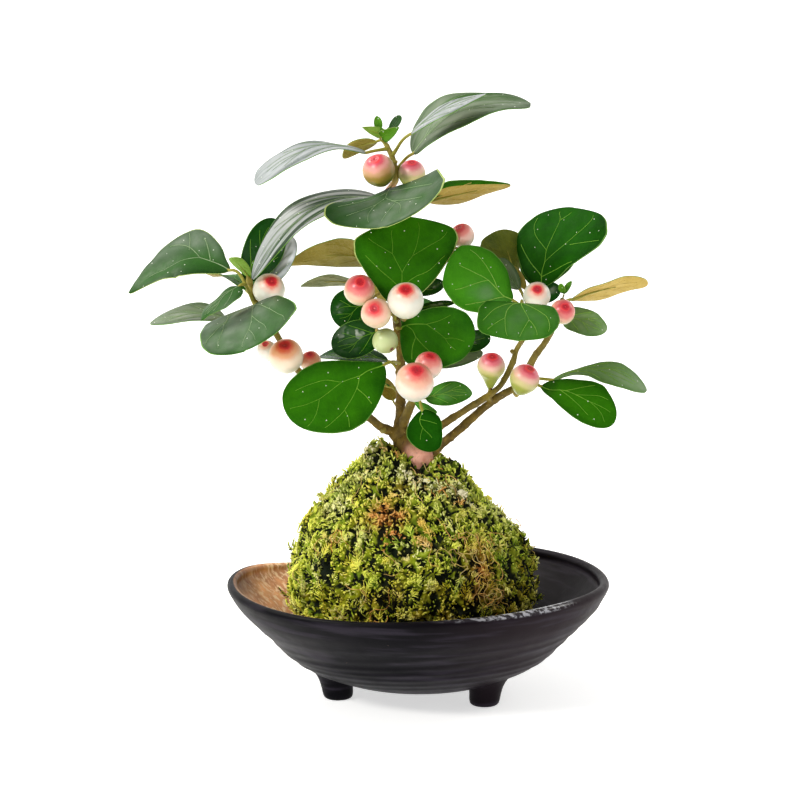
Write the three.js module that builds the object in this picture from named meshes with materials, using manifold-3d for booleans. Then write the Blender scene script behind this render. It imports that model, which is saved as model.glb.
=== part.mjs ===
// A kokedama: a dwarf fig growing out of a moss ball, which stands in a black ceramic dish on three feet.
// Millimetres, +Z up, the front at -Y. The origin is on the ground under the middle of the whole plant.
import * as THREE from "three";
import { mergeVertices } from "three/addons/utils/BufferGeometryUtils.js";
import Module from "manifold-3d";

const wasm = await Module();
wasm.setup();

// ---- driving dimensions ----

const gap = 0.3; // between a piece and what carries it

const dish = {
  x: 12.4, // its axis lies to the right of the middle of the plant
  lipRadius: 75,
  lipHeight: 44.5,
  lip: 2, // radius of the rounded edge
  outside: [[24, 5], [35.6, 7.6], [51.4, 15.6], [61.5, 25.4], [72.5, 36.5]],
  inside: [[70.5, 39.5], [60, 29.4], [49, 19.5], [38, 12.6], [31, 10]],
  sway: 1.4, // the rim rises at the front right and falls at the front left
  dip: 6.5, // and sinks at the back left
  dipAt: 118, // degrees from +X
  dipSpread: 32,
  feet: [-42, -158, 80], // degrees from +X
  footCircle: 35,
  foot: [[0, 0], [5.2, 0], [6, 1.2], [7, 7], [5.4, 10.4], [0, 10.6]],
};

const moss = {
  x: 9.6,
  outside: [[26, 10 + gap], [43, 22], [50.5, 40], [47, 60], [37, 77], [20, 94], [9, 101], [0, 103]],
  thickness: 7,
  lean: -4, // how far its top leans to the left
  leanFrom: [55, 90], // the heights over which it comes to lean
  swell: 1.2, // height of its soft swellings
  swellFrom: [20, 40], // the heights over which they set in
  swellsAround: 3,
  swellTwist: 0.06, // radians per millimetre of height
  swellUp: 0.09, // radians per millimetre of height
  swellWander: 1.5, // radians
};

// Each stem is a list of [x, y, z, radius], from where it springs to its tip.
const rootstock = [
  [3.5, 0, 106, 2.6], [7, -1, 102.5, 4.4], [11.5, -2, 96.5, 7], [13, -1, 87.5, 6.2], [11, 0, 73.5, 2.5],
];
const mainStem = [
  [6, 0, 98, 3], [4.5, 0, 104, 2.9], [5, 0, 112.5, 2.1], [5, 0, 126, 1.9], [5, 0, 140, 1.8],
  [3.5, 0, 151, 1.7], [3, 0, 169.5, 1.6], [0, 0, 189.5, 1.5], [-0.5, 0, 201.5, 1.4], [3, -1, 207.5, 1.3],
  [2, -1, 215.5, 1.1], [-0.5, -1, 221.5, 0.9],
];
const branches = {
  stem_front: [
    [5, -1, 106.5, 2], [7.5, -4, 114, 1.8], [10.5, -8, 121.5, 1.6], [12.5, -14, 127, 1.3],
  ],
  branch_left: [
    [2.5, 0, 106, 1.9], [-3, -3, 109, 1.8], [-8, -6, 113.5, 1.6], [-17, -8, 119.5, 1.5],
    [-27, -9, 126.5, 1.4], [-35, -9, 132, 1.4], [-39.5, -8, 138, 1.3], [-43.5, -6, 145.5, 1.3],
    [-48.5, -5, 153, 1.2], [-53, -5, 159.5, 1.1], [-54.5, -4, 166.5, 1],
  ],
  branch_right_low: [
    [14.5, 0, 93, 2], [19.5, -3, 100, 1.9], [28, -4, 107.5, 1.7], [38, -4, 116.5, 1.6],
    [45, -3, 121.5, 1.5], [52, 0, 125, 1.5], [55.5, 3, 129.5, 1.4], [58, 4, 135, 1.4], [64, 3, 144, 1.3],
    [67, 2, 152, 1.2], [69.5, 0, 160, 1],
  ],
  branch_right_mid: [
    [9, -3, 100.5, 1.7], [21.5, -8, 110.5, 1.5], [32.5, -10, 118, 1.4], [39, -7, 121.5, 1.3],
    [44.5, -2, 125, 1.2], [47.5, 2, 129, 1.2], [50, 4, 134, 1.2], [51.5, 4, 139, 1.1], [54, 4, 143.5, 1.1],
    [56.5, 4, 151.5, 1.1], [58, 2, 161.5, 1],
  ],
  branch_right_upper: [
    [3.5, 1, 154.5, 1.2], [10.5, 6, 165, 1.1], [18.5, 8, 174, 1], [24.5, 6, 180, 0.9],
  ],
};

const petiole = 0.7; // radius of a leaf's stalk
const stalkReach = 0.4; // how far a stalk's ends hold their direction, as a share of its length
const leafThickness = 0.8;
const sides = { stem: 7, leaf: 6, fig: 8, ball: 22, dish: 36, foot: 12 };
const steps = { leafStalk: 3, figStalk: 2, dishProfile: 6, ballProfile: 11 };

// A leaf runs from base to tip. "across" is its full width, from its left edge to its right one as seen from above
// with the tip ahead. It is broadest at the share "broad" of its length, and "round" is 0.5 for a round end and 1 for
// a pointed one. Its middle rises by "arch" and bows to its left by "bow", in shares of its length, and its edges rise
// by "cup", a share of its half width. "from" is where its stalk springs, as a share of its stem; else the nearest place.
const leaves = [
  { name: "leaf_crown_left", on: "trunk", base: [-8.5, -5, 218.5], tip: [-51.5, -14, 207],
    across: [4.5, -15.5, -5], broad: 0.48, round: 0.6, arch: 0.2, cup: 0, look: "silver" },
  { name: "leaf_crown_back", on: "trunk", base: [10, 3, 217.5], tip: [56.5, 10, 236.5],
    across: [-7, 21.5, 8.5], broad: 0.32, round: 0.7, arch: 0.2, cup: 0, look: "silver" },
  { name: "leaf_crown_right", on: "trunk", base: [9, -6, 226], tip: [38.5, -6, 241.5],
    across: [-2, 16, 3.5], broad: 0.5, round: 0.6, arch: 0.08, cup: 0, look: "silver" },
  { name: "leaf_crown_small", on: "trunk", base: [-4.5, 7, 222], tip: [-18, 12, 215],
    across: [-4.5, -6, 4.5], broad: 0.5, round: 0.6, arch: 0.12, cup: 0, look: "olive" },
  { name: "leaf_top_front", on: "trunk", base: [1, -5, 204.5], tip: [-3, -36, 192],
    across: [49, -11, 13], broad: 0.5, round: 0.45, arch: 0.06, cup: 0.2, look: "green" },
  { name: "leaf_top_right_rear", on: "trunk", base: [16, 8, 198.5], tip: [49, 14, 204],
    across: [-0.5, 11.5, -9.5], broad: 0.5, round: 0.6, arch: 0.02, cup: 0, look: "olive" },
  { name: "leaf_upper_left_long", on: "trunk", base: [-3, 6, 199.5], tip: [-53, -10, 169],
    across: [9.5, -20, -5], broad: 0.42, round: 0.6, arch: 0.21, cup: 0, look: "silver" },
  { name: "leaf_left_inner", on: "branch_left", base: [-56.5, 5, 166.5], tip: [-46.5, 9, 190],
    across: [-14.5, -6, 7.5], broad: 0.55, round: 0.5, arch: 0.05, cup: 0, from: 0.925, look: "dark" },
  { name: "leaf_left_blue", on: "branch_left", base: [-48.5, 10, 163.5], tip: [-39, 18, 183],
    across: [-11, 4, 3.5], broad: 0.55, round: 0.5, arch: 0.05, cup: 0, from: 0.975, look: "silver" },
  { name: "leaf_left_outer", on: "branch_left", base: [-63, -1, 171.5], tip: [-103.5, 5, 161.5],
    across: [1, -26, -19.5], broad: 0.32, round: 0.8, arch: 0.05, cup: 0, bow: 0.32, from: 0.94, look: "green" },
  { name: "leaf_left_small", on: "branch_left", base: [-58.5, -11, 166.5], tip: [-73, -19, 154],
    across: [8.5, -11, -2.5], broad: 0.45, round: 0.55, arch: 0.08, cup: 0, from: 0.885, look: "green" },
  { name: "leaf_left_front", on: "branch_left", base: [-52.5, -9, 159], tip: [-54.5, -38, 145],
    across: [38, -10.5, 16.5], broad: 0.55, round: 0.5, arch: 0.08, cup: 0, from: 0.76, look: "green" },
  { name: "leaf_left_rear", on: "branch_left", base: [-65.5, 12, 150.5], tip: [-96, 18, 147.5],
    across: [-3.5, -21, -5], broad: 0.5, round: 0.6, arch: 0.1, cup: 0, look: "silver" },
  { name: "leaf_mid_left_rear", on: "trunk", base: [-3, 9, 173.5], tip: [-40.5, 21, 171],
    across: [-5, -12.5, 13], broad: 0.5, round: 0.55, arch: 0.12, cup: 0, look: "olive" },
  { name: "leaf_center", on: "trunk", base: [3, -12, 156], tip: [7.5, -6, 193.5],
    across: [-43, 1.5, 4.5], broad: 0.68, round: 0.52, arch: 0.04, cup: -0.05, from: 0.45, look: "green" },
  { name: "leaf_center_right", on: "branch_right_mid", base: [49.5, -4, 160], tip: [23.5, -13, 176.5],
    across: [-10.5, -10.5, -22.5], broad: 0.55, round: 0.5, arch: 0.05, cup: 0, from: 0.9, look: "green" },
  { name: "leaf_right_front", on: "branch_right_mid", base: [52.5, -13, 160], tip: [50, -40, 149],
    across: [34, -2.5, -2], broad: 0.55, round: 0.45, arch: 0.08, cup: 0, from: 0.84, look: "green" },
  { name: "leaf_right_upper", on: "branch_right_mid", base: [61, 4, 164.5], tip: [75, 17, 194.5],
    across: [-31.5, 33, 0.5], broad: 0.6, round: 0.5, arch: 0.05, cup: 0, from: 0.97, look: "green" },
  { name: "leaf_right_rear", on: "branch_right_mid", base: [52, 11, 165.5], tip: [40.5, 22, 185.5],
    across: [12.5, 13, 0], broad: 0.6, round: 0.5, arch: 0.05, cup: 0, from: 0.93, look: "olive" },
  { name: "leaf_right_tip", on: "branch_right_low", base: [72.5, -2, 160], tip: [104, 8, 165],
    across: [-1.5, 9.5, -10], broad: 0.5, round: 0.6, arch: 0.06, cup: 0, from: 0.97, look: "yellow" },
  { name: "leaf_right_low_rear", on: "branch_right_low", base: [69.5, 6, 151.5], tip: [87, -2, 147.5],
    across: [6.5, 10, 9], broad: 0.5, round: 0.55, arch: 0.1, cup: 0, from: 0.86, look: "silver" },
  { name: "leaf_low_right_upper", on: "branch_right_low", base: [66, 2, 127], tip: [103, -4, 123.5],
    across: [2.5, 13.5, 6], broad: 0.5, round: 0.6, arch: 0.2, cup: 0, from: 0.57, look: "silver" },
  { name: "leaf_low_right", on: "branch_right_low", base: [61, -5, 125.5], tip: [89.5, -20, 114],
    across: [10, 10, 12], broad: 0.6, round: 0.5, arch: 0.1, cup: 0, bow: 0.05, from: 0.53, look: "green" },
  { name: "leaf_low_left_front", on: "trunk", base: [-1.5, -13, 135.5], tip: [-40, -28, 119],
    across: [14.5, -4.5, -29.5], broad: 0.55, round: 0.5, arch: 0.04, cup: 0, from: 0.325, look: "green" },
  { name: "leaf_center_low", on: "trunk", base: [5, -6, 149], tip: [34.5, -11, 146.5],
    across: [2, 0, 26.5], broad: 0.48, round: 0.5, arch: 0.05, cup: 0, from: 0.43, look: "green" },
  { name: "leaf_mid_left_dark", on: "trunk", base: [-6.5, 5, 158], tip: [-22.5, 0, 153],
    across: [5.5, -3, -15.5], broad: 0.55, round: 0.5, arch: 0.05, cup: 0, look: "dark" },
  { name: "leaf_mid_left_gloss", on: "trunk", base: [-3.5, -3, 147.5], tip: [-22, -8, 141],
    across: [6, -5.5, -13], broad: 0.5, round: 0.5, arch: 0.06, cup: 0, from: 0.415, look: "dark" },
  { name: "leaf_low_left_rear", on: "trunk", base: [0, 2, 134.5], tip: [-27.5, 8, 135.5],
    across: [-3, -13.5, -4], broad: 0.5, round: 0.6, arch: 0.08, cup: 0, look: "dark" },
  { name: "leaf_mid_left_thin", on: "trunk", base: [-11.5, 12, 164.5], tip: [-35.5, 22, 162],
    across: [-3.5, -6.5, 5.5], broad: 0.5, round: 0.6, arch: 0.08, cup: 0, look: "olive" },
  { name: "leaf_low_center_right", on: "stem_front", base: [15, -6, 121], tip: [33.5, -10, 123.5],
    across: [0.5, 8, 8.5], broad: 0.5, round: 0.6, arch: 0.08, cup: 0, look: "green" },
  { name: "leaf_low_front_small", on: "stem_front", base: [13.5, -18, 118], tip: [17.5, -26, 103],
    across: [14.5, 1, 3.5], broad: 0.5, round: 0.5, arch: 0.05, cup: 0, look: "green" },
];

// Each fig is a ball with its eye, the dimple at its end, turned towards "eye".
const figs = [
  { name: "fig_crown_left", on: "trunk", at: [-3.5, -9, 212], radius: 6.4, eye: [-0.4, -0.4, 0.8], from: 0.87 },
  { name: "fig_crown_right", on: "trunk", at: [9.5, -1, 210], radius: 5.4, eye: [0.1, -0.0, 1.0], from: 0.87 },
  { name: "fig_left_upper", on: "branch_left", at: [-47, -6, 164.5], radius: 6.4, eye: [0.2, -0.8, 0.6], from: 0.9 },
  { name: "fig_mid_left", on: "trunk", at: [-11, -19, 166], radius: 6.1, eye: [-0.3, -0.7, 0.7], from: 0.53 },
  { name: "fig_mid_brown", on: "trunk", at: [-4.5, -24, 157.5], radius: 5.9, eye: [-0.3, -0.9, 0.3], from: 0.49 },
  { name: "fig_mid_right", on: "trunk", at: [7, -24, 162.5], radius: 7.1, eye: [-0.0, -0.8, 0.6], from: 0.47 },
  { name: "fig_unripe", on: "trunk", at: [-1, -16, 145.5], radius: 5.1, eye: [0.5, -0.6, -0.6], from: 0.37 },
  { name: "fig_low_front", on: "stem_front", at: [10.5, -31, 131.5], radius: 7.6, eye: [0.1, -0.7, 0.7] },
  { name: "fig_low_behind", on: "stem_front", at: [16, -18, 136], radius: 5.5, eye: [0.1, -0.8, 0.6] },
  { name: "fig_left_low", on: "branch_left", at: [-40, -17, 139.5], radius: 6.9, eye: [-0.1, -0.7, 0.7] },
  { name: "fig_left_red", on: "branch_left", at: [-30.5, -11, 136.5], radius: 4.2, eye: [-0.1, -0.6, 0.8] },
  { name: "fig_left_white", on: "branch_left", at: [-48, -8, 140.5], radius: 4.0, eye: [-0.1, -0.6, 0.8] },
  { name: "fig_right_stalk", on: "branch_right_mid", at: [41, -8, 133.5], radius: 5.6, eye: [0.2, -0.5, 0.9], from: 0.3 },
  { name: "fig_right_fork", on: "branch_right_low", at: [54, -14, 130], radius: 5.9, eye: [0.5, -0.4, 0.8], from: 0.46 },
  { name: "fig_right_upper", on: "branch_right_mid", at: [59, -5, 162], radius: 5.4, eye: [0.1, -0.8, 0.6], from: 0.95 },
  { name: "fig_right_outer", on: "branch_right_low", at: [69, -9, 156], radius: 5.0, eye: [0.3, -0.9, 0.3], from: 0.94 },
  { name: "fig_hidden", on: "branch_right_upper", at: [29.5, -2, 185.5], radius: 4.8, eye: [-0.2, -0.5, 0.8] },
];

// A shoot tip is a few young leaves from one bud: each is [tip, width].
const shoots = [
  { name: "shoot_crown", on: "trunk", base: [-1, -1, 222.5],
    young: [[[-10.5, -6, 227.5], 5], [[5, -4, 226.5], 4], [[-3, 2, 230], 5], [[7, 4, 231], 4]] },
  { name: "shoot_left", on: "branch_left", base: [-54.5, -5, 169], young: [[[-62, -14, 179], 7], [[-53, -5, 176], 2]] },
  { name: "shoot_right", on: "branch_right_low", base: [70, 0, 162], young: [[[69, -3, 166], 3], [[73, 1, 167], 2]] },
];

const looks = {
  ceramic: { color: 0x252226, roughness: 0.4 },
  moss: { color: 0x76861f, roughness: 0.95 },
  soil: { color: 0x2b1f16, roughness: 1 },
  bark: { color: 0x6b4f24, roughness: 0.8 },
  green: { color: 0x1f6a1a, roughness: 0.3 },
  dark: { color: 0x17401a, roughness: 0.3 },
  silver: { color: 0x6f8b74, roughness: 0.3 },
  olive: { color: 0x8c8142, roughness: 0.5 },
  yellow: { color: 0xb39a3c, roughness: 0.5 },
  fig: { color: 0xf0d9c2, roughness: 0.3 },
};

// ---- geometry ----

const vector = (list) => new THREE.Vector3(list[0], list[1], list[2]);
const turned = (degrees) => THREE.MathUtils.degToRad(degrees);

// A closed geometry as a solid that can be cut and joined.
function solidOf(geometry) {
  const bare = geometry.clone();
  bare.deleteAttribute("normal");
  bare.deleteAttribute("uv");
  const merged = mergeVertices(bare, 1e-4);
  return new wasm.Manifold(
    new wasm.Mesh({
      numProp: 3,
      vertProperties: merged.attributes.position.array,
      triVerts: new Uint32Array(merged.index.array),
    }),
  );
}

function geometryOf(solid) {
  const mesh = solid.getMesh();
  const positions = new Float32Array(mesh.numVert * 3);
  for (let i = 0; i < mesh.numVert; i++)
    positions.set(mesh.vertProperties.subarray(i * mesh.numProp, i * mesh.numProp + 3), i * 3);
  const geometry = new THREE.BufferGeometry();
  geometry.setAttribute("position", new THREE.BufferAttribute(positions, 3));
  geometry.setIndex(new THREE.BufferAttribute(mesh.triVerts, 1));
  geometry.computeVertexNormals();
  return geometry;
}

// Rings with equally many points, skinned one after another and closed with a fan at both ends.
function skinned(rings) {
  const around = rings[0].length;
  const points = rings.flat();
  const faces = [];
  for (let i = 0; i + 1 < rings.length; i++)
    for (let j = 0; j < around; j++) {
      const here = i * around + j;
      const next = i * around + ((j + 1) % around);
      faces.push(here, next, next + around, here, next + around, here + around);
    }
  for (const [ring, start] of [[rings[0], 0], [rings[rings.length - 1], (rings.length - 1) * around]]) {
    const middle = points.length;
    points.push(ring.reduce((sum, p) => sum.add(p), new THREE.Vector3()).divideScalar(around));
    for (let j = 0; j < around; j++) {
      const edge = [start + j, start + ((j + 1) % around)];
      faces.push(middle, ...(start ? edge : edge.reverse()));
    }
  }
  const geometry = new THREE.BufferGeometry();
  geometry.setAttribute("position", new THREE.Float32BufferAttribute(points.flatMap((p) => p.toArray()), 3));
  geometry.setIndex(faces);
  geometry.computeVertexNormals();
  return geometry;
}

// Each point of a path with its direction and the two directions across it. They are carried from the last point,
// where "across" gives the first of them, back to the first point, and turn no more than the path does.
function framesAlong(points, across) {
  const frames = [];
  let right = across.clone();
  for (let i = points.length - 1; i >= 0; i--) {
    const ahead = points[Math.min(i + 1, points.length - 1)];
    const behind = points[Math.max(i - 1, 0)];
    const along = ahead.clone().sub(behind).normalize();
    right = right.clone().addScaledVector(along, -right.dot(along)).normalize();
    frames.unshift({ at: points[i], right, up: along.clone().cross(right) });
  }
  return frames;
}

function ringAround(frame, halfWidth, halfHeight, count, bend = 0) {
  return Array.from({ length: count }, (_, j) => {
    const angle = (2 * Math.PI * j) / count;
    const out = halfWidth * Math.cos(angle);
    return frame.at
      .clone()
      .addScaledVector(frame.right, out)
      .addScaledVector(frame.up, halfHeight * Math.sin(angle) + bend * out * out);
  });
}

// ---- stems ----

function curveOf(stem) {
  return new THREE.CatmullRomCurve3(stem.map(vector), false, "centripetal");
}

// A stem's tube, made thicker and longer by "clearance".
function stemSolid(stem, clearance = 0) {
  const curve = curveOf(stem);
  const steps = 2 * (stem.length - 1);
  const points = curve.getPoints(steps);
  points[0].addScaledVector(curve.getTangent(0), -clearance);
  points[steps].addScaledVector(curve.getTangent(1), clearance);
  const rings = framesAlong(points, new THREE.Vector3(0, 1, 0)).map((frame, i) => {
    const place = i / 2;
    const radius = THREE.MathUtils.lerp(stem[Math.floor(place)][3], stem[Math.ceil(place)][3], place % 1);
    return ringAround(frame, radius + clearance, radius + clearance, sides.stem);
  });
  return solidOf(skinned(rings));
}

// The nearest point of a stem's middle line, taken a little towards its root, where a stalk springs from it.
function springOf(stem, target, share) {
  const curve = curveOf(stem);
  if (share) return curve.getPoint(share);
  const samples = 80;
  const back = 2;
  let best = 0;
  for (let i = 0; i <= samples; i++)
    if (curve.getPoint(i / samples).distanceTo(target) < curve.getPoint(best / samples).distanceTo(target)) best = i;
  return curve.getPoint(Math.max(0, best - back) / samples);
}

// A stalk's middle line, from its stem to where it meets the leaf or the fig, which it enters along "axis".
function stalkPoints(stem, share, end, axis, count) {
  const start = springOf(stem, end, share);
  const reach = stalkReach * start.distanceTo(end);
  const first = start.clone().lerp(end, stalkReach);
  const second = end.clone().addScaledVector(axis, -reach);
  return new THREE.CubicBezierCurve3(start, first, second, end).getPoints(count).slice(0, -1);
}

// ---- leaves ----

// A leaf's half width at the share t of its length: a power of t up to the broadest place and a power of 1 - t after.
function halfWidth(leaf, width, t) {
  const rise = (leaf.round * leaf.broad) / (1 - leaf.broad);
  return (width / 2) * (t / leaf.broad) ** rise * ((1 - t) / (1 - leaf.broad)) ** leaf.round;
}

function leafSolid(leaf, stem) {
  const base = vector(leaf.base);
  const axis = vector(leaf.tip).sub(base);
  const length = axis.length();
  axis.normalize();
  const across = vector(leaf.across);
  across.addScaledVector(axis, -across.dot(axis));
  const width = across.length();
  across.normalize();
  const top = axis.clone().cross(across);
  const stalk = stalkPoints(stem, leaf.from, base, axis, steps.leafStalk);
  const stations = [0.01, 0.1, 0.25, 0.45, 0.65, 0.83, 0.95, 0.995]; // shares of the leaf's length
  const spine = stations.map((t) => {
    const rise = length * 4 * t * (1 - t);
    const point = base.clone().addScaledVector(axis, length * t).addScaledVector(top, leaf.arch * rise);
    return point.addScaledVector(across, -(leaf.bow ?? 0) * rise);
  });
  const rings = framesAlong([...stalk, ...spine], across).map((frame, i) => {
    if (i < stalk.length) return ringAround(frame, petiole, petiole, sides.leaf);
    const half = Math.max(petiole, halfWidth(leaf, width, stations[i - stalk.length]));
    return ringAround(frame, half, leafThickness / 2, sides.leaf, (2 * leaf.cup) / width);
  });
  return solidOf(skinned(rings));
}

// ---- figs ----

function figSolid(fig, stem) {
  const axis = vector(fig.eye).normalize();
  const middle = vector(fig.at);
  const heights = [-0.94, -0.68, -0.2, 0.35, 0.76, 0.96]; // shares of the radius along the axis
  const ball = heights.map((height) => middle.clone().addScaledVector(axis, height * fig.radius));
  const stalk = stalkPoints(stem, fig.from, ball[0], axis, steps.figStalk);
  const across = new THREE.Vector3(1, 0, 0).cross(axis).normalize();
  const rings = framesAlong([...stalk, ...ball], across).map((frame, i) => {
    const height = heights[i - stalk.length];
    const radius = i < stalk.length ? petiole : fig.radius * Math.sqrt(1 - height * height);
    return ringAround(frame, radius, radius, sides.fig);
  });
  return solidOf(skinned(rings));
}

// ---- shoot tips ----

// Its young leaves are all of one shape, folded upwards a little, and their upper sides face out of the bud.
function shootSolid(shoot, stem) {
  const parts = shoot.young.map(([tip, width]) => {
    const axis = vector(tip).sub(vector(shoot.base));
    const across = new THREE.Vector3(0.2, 1, 0.3).cross(axis).setLength(width);
    const leaf = { base: shoot.base, tip, across: across.toArray(), broad: 0.5, round: 0.6, arch: 0.08, cup: 0.3 };
    return leafSolid(leaf, stem);
  });
  return parts.reduce((all, part) => all.add(part));
}

// ---- dish ----

const aboutZ = (profile, count) => {
  const points = profile.map(([radius, height]) => new THREE.Vector2(radius, height));
  const geometry = new THREE.LatheGeometry(points, count);
  geometry.rotateX(Math.PI / 2);
  return geometry;
};

const splined = (points, count) =>
  new THREE.SplineCurve(points.map(([x, y]) => new THREE.Vector2(x, y))).getPoints(count).map((p) => [p.x, p.y]);

// How far the rim stands above its even height at an angle: a slow sway round it, and a dip at the back left.
function rimWave(angle) {
  const away = Math.atan2(Math.sin(angle - turned(dish.dipAt)), Math.cos(angle - turned(dish.dipAt)));
  const sway = angle < 0 ? -dish.sway * Math.sin(2 * angle) : 0;
  return sway - dish.dip * Math.exp(-((away / turned(dish.dipSpread)) ** 2));
}

function dishSolid() {
  const lip = [-20, 30, 90, 150, 200].map((degrees) => [ // round the edge, from its outside over its top
    dish.lipRadius + dish.lip * Math.cos(turned(degrees)),
    dish.lipHeight + dish.lip * Math.sin(turned(degrees)),
  ]);
  const outside = [[0, dish.outside[0][1]], ...splined(dish.outside, steps.dishProfile)];
  const inside = [...splined(dish.inside, steps.dishProfile), [0, dish.inside[dish.inside.length - 1][1]]];
  const bowl = aboutZ([...outside, ...lip, ...inside], sides.dish);
  const place = bowl.getAttribute("position");
  for (let i = 0; i < place.count; i++) {
    const wave = rimWave(Math.atan2(place.getY(i), place.getX(i)));
    place.setZ(i, place.getZ(i) + wave * (place.getZ(i) / dish.lipHeight) ** 3);
  }
  let solid = solidOf(bowl);
  for (const degrees of dish.feet) {
    const foot = aboutZ(dish.foot, sides.foot);
    const angle = turned(degrees);
    foot.translate(dish.footCircle * Math.cos(angle), dish.footCircle * Math.sin(angle), 0);
    solid = solid.add(solidOf(foot));
  }
  return solid.translate([dish.x, 0, 0]);
}

// ---- moss ball ----

// The ball's body, drawn in by "inset" all round: lumpy, and leaning a little to the left at its top.
function ballSolid(inset) {
  const floor = moss.outside[0][1];
  const height = moss.outside[moss.outside.length - 1][1] - floor;
  const widest = Math.max(...moss.outside.map(([radius]) => radius));
  const profile = splined(moss.outside, steps.ballProfile).map(([radius, z]) => [
    radius * (1 - inset / widest),
    floor + inset + (z - floor) * (1 - (2 * inset) / height),
  ]);
  const ball = aboutZ([[0, floor + inset], ...profile], sides.ball);
  const place = ball.getAttribute("position");
  for (let i = 0; i < place.count; i++) {
    const [x, y, z] = [place.getX(i), place.getY(i), place.getZ(i)];
    const angle = Math.atan2(y, x);
    const around = Math.sin(moss.swellsAround * angle + moss.swellTwist * z);
    const up = Math.sin(moss.swellUp * z + moss.swellWander * Math.sin(2 * angle));
    const swell = moss.swell * around * up * THREE.MathUtils.smoothstep(z, ...moss.swellFrom);
    const lean = moss.lean * THREE.MathUtils.smoothstep(z, ...moss.leanFrom);
    const share = 1 + swell / widest;
    place.setXY(i, x * share + moss.x + lean, y * share);
  }
  return solidOf(ball);
}

// ---- the whole plant ----

const plant = new THREE.Group();

function put(name, solid, look) {
  const mesh = new THREE.Mesh(geometryOf(solid), new THREE.MeshStandardMaterial(looks[look]));
  mesh.name = name;
  plant.add(mesh);
}

const trunkSpace = stemSolid(mainStem, gap).add(stemSolid(rootstock, gap));
put("dish", dishSolid(), "ceramic");
const rootSpace = trunkSpace.add(stemSolid(branches.branch_right_low, gap));
put("moss_cover", ballSolid(0).subtract(ballSolid(moss.thickness)).subtract(rootSpace), "moss");
put("soil_core", ballSolid(moss.thickness + gap).subtract(rootSpace), "soil");
put("trunk", stemSolid(mainStem).add(stemSolid(rootstock)), "bark");

const stems = { trunk: mainStem, ...branches };
const space = { trunk: trunkSpace };
for (const [name, path] of Object.entries(branches)) {
  put(name, stemSolid(path).subtract(trunkSpace), "bark");
  space[name] = stemSolid(path, gap);
}
for (const leaf of leaves) put(leaf.name, leafSolid(leaf, stems[leaf.on]).subtract(space[leaf.on]), leaf.look);
for (const fig of figs) put(fig.name, figSolid(fig, stems[fig.on]).subtract(space[fig.on]), "fig");
for (const shoot of shoots) put(shoot.name, shootSolid(shoot, stems[shoot.on]).subtract(space[shoot.on]), "green");

export default plant;
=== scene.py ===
import bpy
import numpy as np
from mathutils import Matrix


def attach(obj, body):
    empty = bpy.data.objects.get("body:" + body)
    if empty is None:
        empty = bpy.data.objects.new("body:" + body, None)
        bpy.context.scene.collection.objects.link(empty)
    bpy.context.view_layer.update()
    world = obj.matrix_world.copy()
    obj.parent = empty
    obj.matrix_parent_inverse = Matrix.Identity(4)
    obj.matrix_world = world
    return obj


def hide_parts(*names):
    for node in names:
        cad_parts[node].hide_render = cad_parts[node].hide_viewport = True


# A dwarf fig growing out of a moss ball, in a black dish on three feet.
# Shapes are worked out in millimetres, with the front at -Y, and become metres when their mesh is made.
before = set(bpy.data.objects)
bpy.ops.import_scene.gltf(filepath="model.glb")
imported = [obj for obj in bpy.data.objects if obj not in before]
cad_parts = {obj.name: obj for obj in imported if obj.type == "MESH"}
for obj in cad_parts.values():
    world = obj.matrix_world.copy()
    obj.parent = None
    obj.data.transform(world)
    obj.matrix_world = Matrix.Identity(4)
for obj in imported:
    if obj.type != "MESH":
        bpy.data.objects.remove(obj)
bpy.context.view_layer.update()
mm = 0.001
camera = {"x": 4.8, "aimHeight": 119.2, "distance": 1200, "pitch": 9.5, "lens": 135, "clip": 20}


def unit(v):
    return v / np.maximum(np.linalg.norm(v, axis=-1, keepdims=True), 1e-9)


def smooth(value, low, high):  # 0 below low, 1 above high, and 3s² - 2s³ between
    s = np.clip((value - low) / (high - low), 0, 1)
    return s * s * (3 - 2 * s)


def rgb(r, g, b):  # a colour as a screen shows it, 0 to 255, as the light it stands for
    c = np.array([r, g, b]) / 255
    return (*np.where(c < 0.04045, c / 12.92, ((c + 0.055) / 1.055) ** 2.4).tolist(), 1)


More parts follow.
